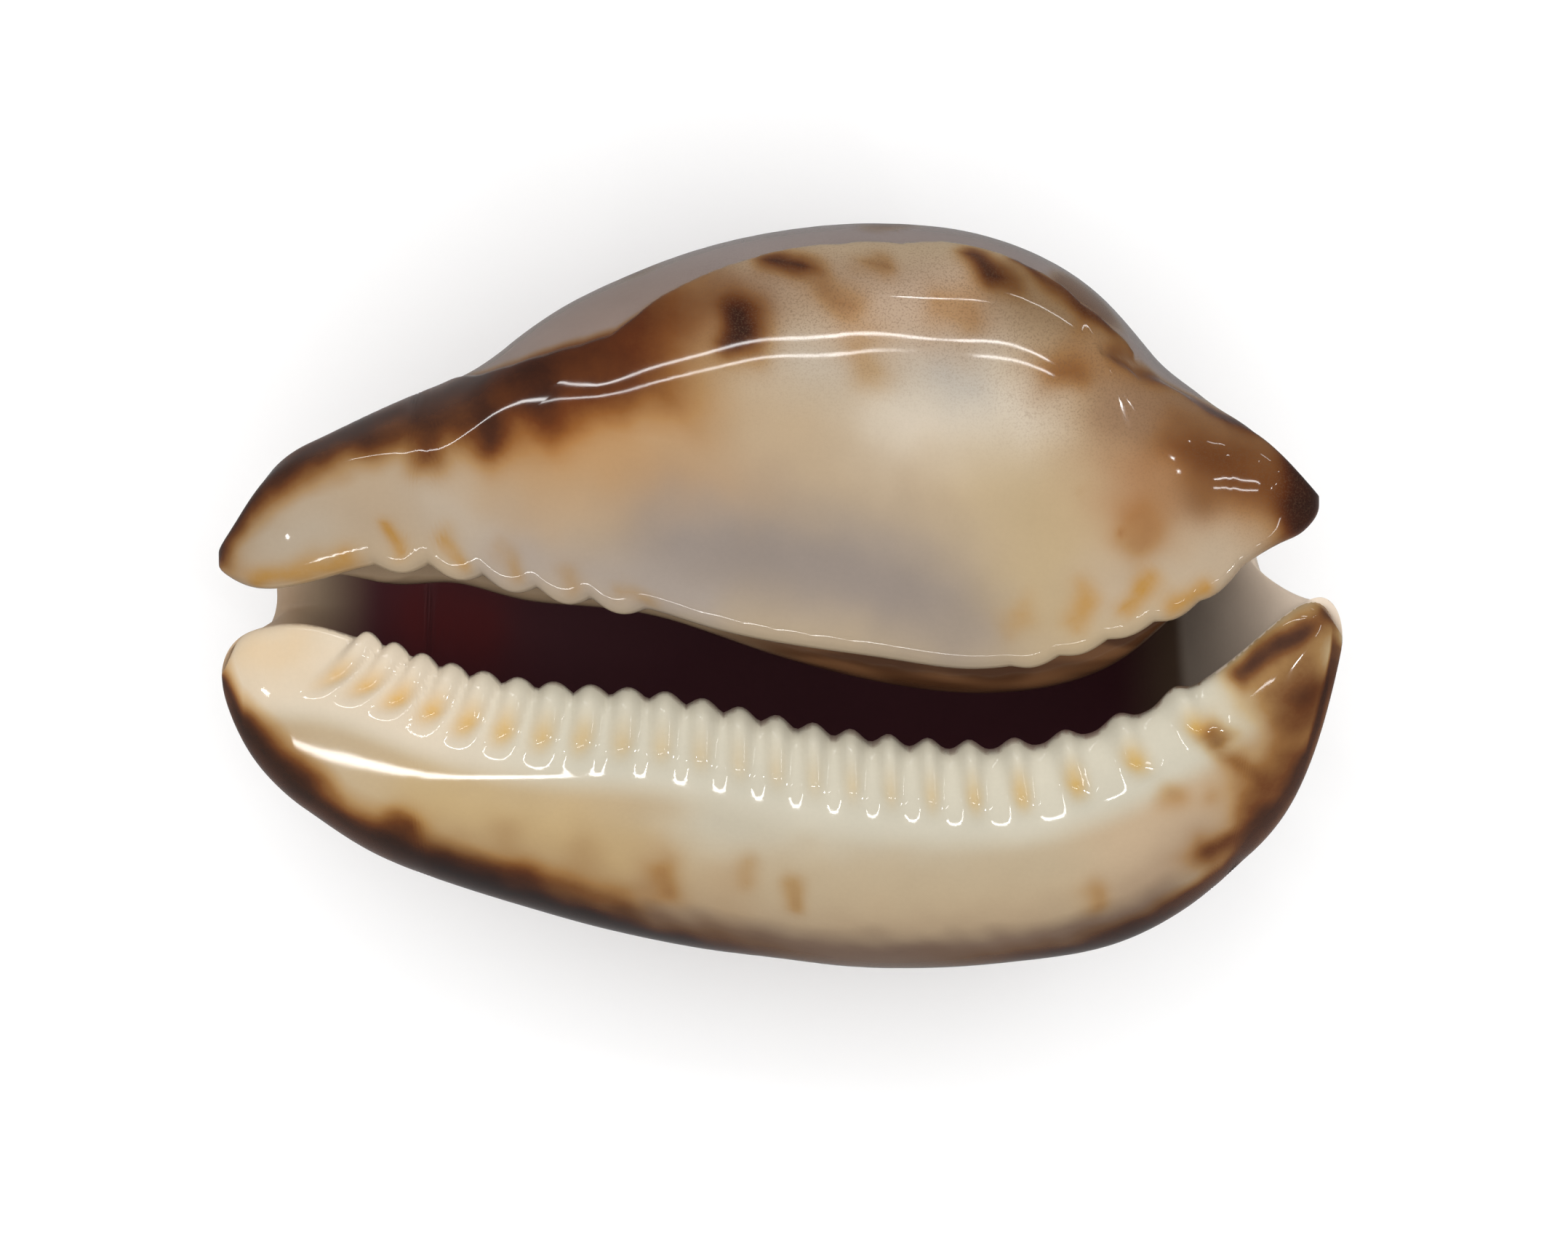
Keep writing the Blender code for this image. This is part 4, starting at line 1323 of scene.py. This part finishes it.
class Board:
    """A material's nodes."""

    def __init__(self, name: str) -> None:
        """Starts a material of the given name."""
        self.material = bpy.data.materials.new(name)
        self.material.use_nodes = True
        self.tree = self.material.node_tree
        self.shader = self.tree.nodes["Principled BSDF"]

    def make(self, kind: str, settings: dict | None = None, **values: object) -> bpy.types.Node:
        """Makes a node.

        Args:
            kind: the node's type.
            settings: its properties, which are set first.
            values: its inputs, by name with underscores for spaces, or by an underscore and a number; a wire
                is linked, anything else is a value.

        Returns:
            The node.
        """
        node = self.tree.nodes.new(kind)
        for name, value in (settings or {}).items():
            setattr(node, name, value)
        for name, value in values.items():
            key = int(name[1:]) if name[0] == "_" else name.replace("_", " ")
            if isinstance(value, Wire):
                self.tree.links.new(value.socket, node.inputs[key])
            else:
                node.inputs[key].default_value = value
        return node

    def wire(self, node: bpy.types.Node, output: str | int = 0) -> "Wire":
        """A wire from a node's output."""
        return Wire(self, node.outputs[output])

    def mix(self, factor: object, first: object, second: object, blend: str = "MIX") -> "Wire":
        """Mixes two colours.

        Args:
            factor: how much of the second.
            first: a wire or a colour.
            second: a wire or a colour.
            blend: the way of mixing.

        Returns:
            A wire of the result.
        """
        settings = {"data_type": "RGBA", "blend_type": blend}
        return self.wire(self.make("ShaderNodeMix", settings, _0=factor, _6=first, _7=second), 2)

    def layer(self, name: str, output: str = "Fac") -> "Wire":
        """A wire of one of the mesh's own layers."""
        return self.wire(self.make("ShaderNodeAttribute", {"attribute_name": name}), output)

    def noise(self, place: "Wire", grain: Grain) -> "Wire":
        """The values of a noise."""
        settings = {"Scale": 1 / (grain.size * MM), "Detail": grain.detail, "Roughness": grain.roughness}
        return self.wire(self.make("ShaderNodeTexNoise", {}, Vector=place, **settings), "Fac")


class Wire:
    """A socket that sums can be done with."""

    def __init__(self, board: Board, socket: bpy.types.NodeSocket) -> None:
        """Wraps a socket."""
        self.board = board
        self.socket = socket

    def math(self, operation: str, first: object, second: object = 0.0, third: object = 0.0) -> "Wire":
        """A Math node's result."""
        node = self.board.make("ShaderNodeMath", {"operation": operation}, _0=first, _1=second, _2=third)
        return self.board.wire(node)

    def __add__(self, other: object) -> "Wire":
        """Adds."""
        return self.math("ADD", self, other)

    __radd__ = __add__

    def __sub__(self, other: object) -> "Wire":
        """Subtracts."""
        return self.math("SUBTRACT", self, other)

    def __rsub__(self, other: object) -> "Wire":
        """Subtracts from a number."""
        return self.math("SUBTRACT", other, self)

    def __mul__(self, other: object) -> "Wire":
        """Multiplies."""
        return self.math("MULTIPLY", self, other)

    __rmul__ = __mul__

    def __truediv__(self, other: object) -> "Wire":
        """Divides."""
        return self.math("DIVIDE", self, other)

    def __rtruediv__(self, other: object) -> "Wire":
        """Divides a number."""
        return self.math("DIVIDE", other, self)

    def __pow__(self, other: object) -> "Wire":
        """Raises to a power."""
        return self.math("POWER", self, other)

    def ramp(self, low: float, high: float) -> "Wire":
        """A smooth rise from 0 at low to 1 at high."""
        settings = {"interpolation_type": "SMOOTHSTEP"}
        node = self.board.make("ShaderNodeMapRange", settings, Value=self, From_Min=low, From_Max=high)
        return self.board.wire(node)

    def colours(self, stops: tuple[tuple[float, Colour], ...]) -> "Wire":
        """A colour ramp's result.

        Args:
            stops: places and their colours.

        Returns:
            A wire of the colour.
        """
        node = self.board.make("ShaderNodeValToRGB", {}, Fac=self)
        elements = node.color_ramp.elements
        while len(elements) < len(stops):
            elements.new(1.0)
        for element, (place, colour) in zip(elements, stops):
            element.position = place
            element.color = (*colour, 1)
        return self.board.wire(node)


@dataclass(frozen=True)
class Glaze:
    """The shell's glossy enamel over its pigments."""

    lift: float = 0.68
    brown: tuple[tuple[float, Colour], ...] = (
        (0.0, (1.0, 1.0, 1.0)), (0.25, (0.84, 0.68, 0.48)), (0.5, (0.56, 0.34, 0.16)),
        (0.72, (0.29, 0.125, 0.05)), (0.88, (0.13, 0.055, 0.035)), (1.0, (0.06, 0.03, 0.025)),
    )
    yellow: Colour = (0.93, 0.63, 0.20)
    speck: Colour = (0.16, 0.09, 0.05)
    clouds: Grain = Grain(1.6, 4.0, 0.6)
    fine: Grain = Grain(0.28, 3.0, 0.65)
    specks: Grain = Grain(0.12, 2.0, 0.7)
    mottle: Grain = Grain(4.5)
    smears: Grain = Grain(2.2, 1.0)
    dents: Grain = Grain(1.3)
    brown_clouding: float = 0.5
    brown_clouding_until: float = 1.2
    brown_grain: float = 0.1
    yellow_clouding: float = 0.8
    yellow_least: float = 0.6
    speck_rise: Span = (0.45, 0.7)
    speck_strength: float = 0.45
    mottle_strength: float = 0.16
    grain_strength: float = 0.08
    least_light: float = 0.88
    roughness: float = 0.055
    smear_roughness: float = 0.04
    dull_roughness: float = 0.45
    ior: float = 1.42
    bump: float = 0.015
    bump_height: float = 0.1

    def material(self) -> bpy.types.Material:
        """Makes the material."""
        board = Board("glazed enamel")
        place = board.wire(board.make("ShaderNodeTexCoord"), "Object")
        ground = board.layer("ground", "Color")
        brown = board.layer("brown")
        clouds = board.noise(place, self.clouds)
        fine = board.noise(place, self.fine)
        uneven = (clouds - 0.5) * brown * (self.brown_clouding_until - brown) * self.brown_clouding
        pigment = brown + uneven + (fine - 0.5) * brown * self.brown_grain
        colour = board.mix(1.0, ground, pigment.colours(self.brown), "MULTIPLY")
        stain = board.layer("yellow") * (clouds * self.yellow_clouding + self.yellow_least)
        colour = board.mix(stain, colour, (*self.yellow, 1), "MULTIPLY")
        specks = board.noise(place, self.specks).ramp(*self.speck_rise) * board.layer("speckle")
        colour = board.mix(specks * self.speck_strength, colour, (*self.speck, 1))
        mottle = board.noise(place, self.mottle) * self.mottle_strength + fine * self.grain_strength
        light = (mottle + self.least_light) * self.lift
        scaled = board.make("ShaderNodeVectorMath", {"operation": "SCALE"}, Vector=colour, Scale=light)
        smears = (board.noise(place, self.smears) - 0.5) * self.smear_roughness
        rough = smears + board.layer("dull") * self.dull_roughness + self.roughness
        dents = {"Distance": self.bump_height * MM, "Height": board.noise(place, self.dents)}
        bump = board.make("ShaderNodeBump", {}, Strength=self.bump, **dents)
        inputs = board.shader.inputs
        board.tree.links.new(scaled.outputs[0], inputs["Base Color"])
        board.tree.links.new(rough.socket, inputs["Roughness"])
        board.tree.links.new(bump.outputs["Normal"], inputs["Normal"])
        inputs["IOR"].default_value = self.ior
        return board.material


@dataclass(frozen=True)
class Lamp:
    """A lit strip, from start to end in the plane a height above the aim, in units of that height."""

    start: tuple[float, float]
    end: tuple[float, float]
    width: float
    radiance: float
    height: float = 600.0


@dataclass
class Studio:
    """A plain pale floor, soft light and the camera."""

    sight: Sight = field(default_factory=Sight)
    lens: float = 164.8
    floor_size: float = 4.0
    floor_grey: float = 0.95
    floor_roughness: float = 0.9
    near_clip: float = 0.01
    room: float = 0.25
    lamps: tuple[Lamp, ...] = (
        Lamp((-1.3, 1.40), (-0.08, 0.49), 14, 26),
        Lamp((-0.10, 0.47), (0.17, 0.37), 9, 22),
        Lamp((-0.08, 0.67), (0.20, 0.47), 10, 26),
        Lamp((-0.72, -1.24), (0.25, -1.14), 20, 28),
        Lamp((0.36, -0.72), (0.60, -0.90), 14, 20),
        Lamp((-0.84, -0.90), (-0.80, -0.86), 34, 60),
        Lamp((1.24, -1.36), (1.32, -1.28), 40, 60),
        Lamp((0.55, 0.36), (0.57, 0.38), 10, 50),
        Lamp((0.69, 0.44), (0.71, 0.46), 10, 50),
        Lamp((0.93, 0.93), (0.96, 0.95), 12, 50),
        Lamp((1.15, -0.75), (1.15, -0.15), 22, 16),
        Lamp((0.50, 1.70), (0.82, 1.44), 16, 20),
        Lamp((0.25, 1.09), (0.27, 1.11), 9, 40),
    )
    panel: Lamp = Lamp((-1.0, 0.0), (1.0, 0.0), 1150, 1.6)

    def camera(self) -> None:
        """Puts the camera over the shell, at the photograph's viewing angle."""
        data = bpy.data.cameras.new("camera")
        data.lens = self.lens
        data.clip_start = self.near_clip
        camera = placed("camera", data)
        matrix = self.sight.matrix()
        matrix.translation *= MM
        camera.matrix_world = matrix
        bpy.context.scene.camera = camera

    def floor(self) -> None:
        """Lays a pale floor under the shell."""
        mesh = bmesh.new()
        bmesh.ops.create_grid(mesh, x_segments=1, y_segments=1, size=self.floor_size / 2)
        board = Board("pale floor")
        board.shader.inputs["Base Color"].default_value = (*[self.floor_grey] * 3, 1)
        board.shader.inputs["Roughness"].default_value = self.floor_roughness
        floor = solidified("floor", mesh, board.material)
        floor.visible_glossy = False

    def hang(self, lamp: Lamp, name: str) -> bpy.types.Object:
        """Hangs one lamp over the shell, facing it.

        Args:
            lamp: where it is, how wide and how bright.
            name: what to call it.

        Returns:
            The lamp's object.
        """
        turn = Matrix.Rotation(math.radians(self.sight.tip), 3, "Y")
        start, end = (turn @ (Vector((*spot, 1.0)) * lamp.height) for spot in (lamp.start, lamp.end))
        middle = (start + end) / 2
        length = max((end - start).length, lamp.width)
        data = bpy.data.lights.new(name, "AREA")
        data.shape = "RECTANGLE"
        data.size = length * MM
        data.size_y = lamp.width * MM
        data.energy = lamp.radiance * math.pi * data.size * data.size_y
        along = (end - start).normalized()
        back = middle.normalized()
        back = (back - along * back.dot(along)).normalized()
        side = back.cross(along)
        light = placed(name, data)
        facing = Matrix((along, side, back)).transposed().to_4x4()
        light.matrix_world = Matrix.Translation((Vector(self.sight.aim) + middle) * MM) @ facing
        light.visible_camera = False
        return light

    def light(self) -> None:
        """Lights the room evenly, with a soft panel and a frame of strips above."""
        world = bpy.data.worlds.new("room")
        world.use_nodes = True
        inputs = world.node_tree.nodes["Background"].inputs
        inputs["Strength"].default_value = self.room
        inputs["Color"].default_value = (1, 1, 1, 1)
        bpy.context.scene.world = world
        self.hang(self.panel, "panel").visible_glossy = False
        for number, lamp in enumerate(self.lamps):
            self.hang(lamp, f"lamp_{number}")


def main() -> None:
    """Builds and reports each piece."""
    logging.basicConfig(level=logging.INFO, format="%(message)s")
    bpy.context.scene.view_settings.view_transform = "Standard"
    shell = ShellSkin().build(Glaze().material())
    LOG.info("%s: %d faces", shell.name, len(shell.data.polygons))
    studio = Studio()
    studio.floor()
    studio.light()
    studio.camera()
    LOG.info("studio: %d lamps", len(studio.lamps) + 1)


if __name__ == "__main__":
    main()
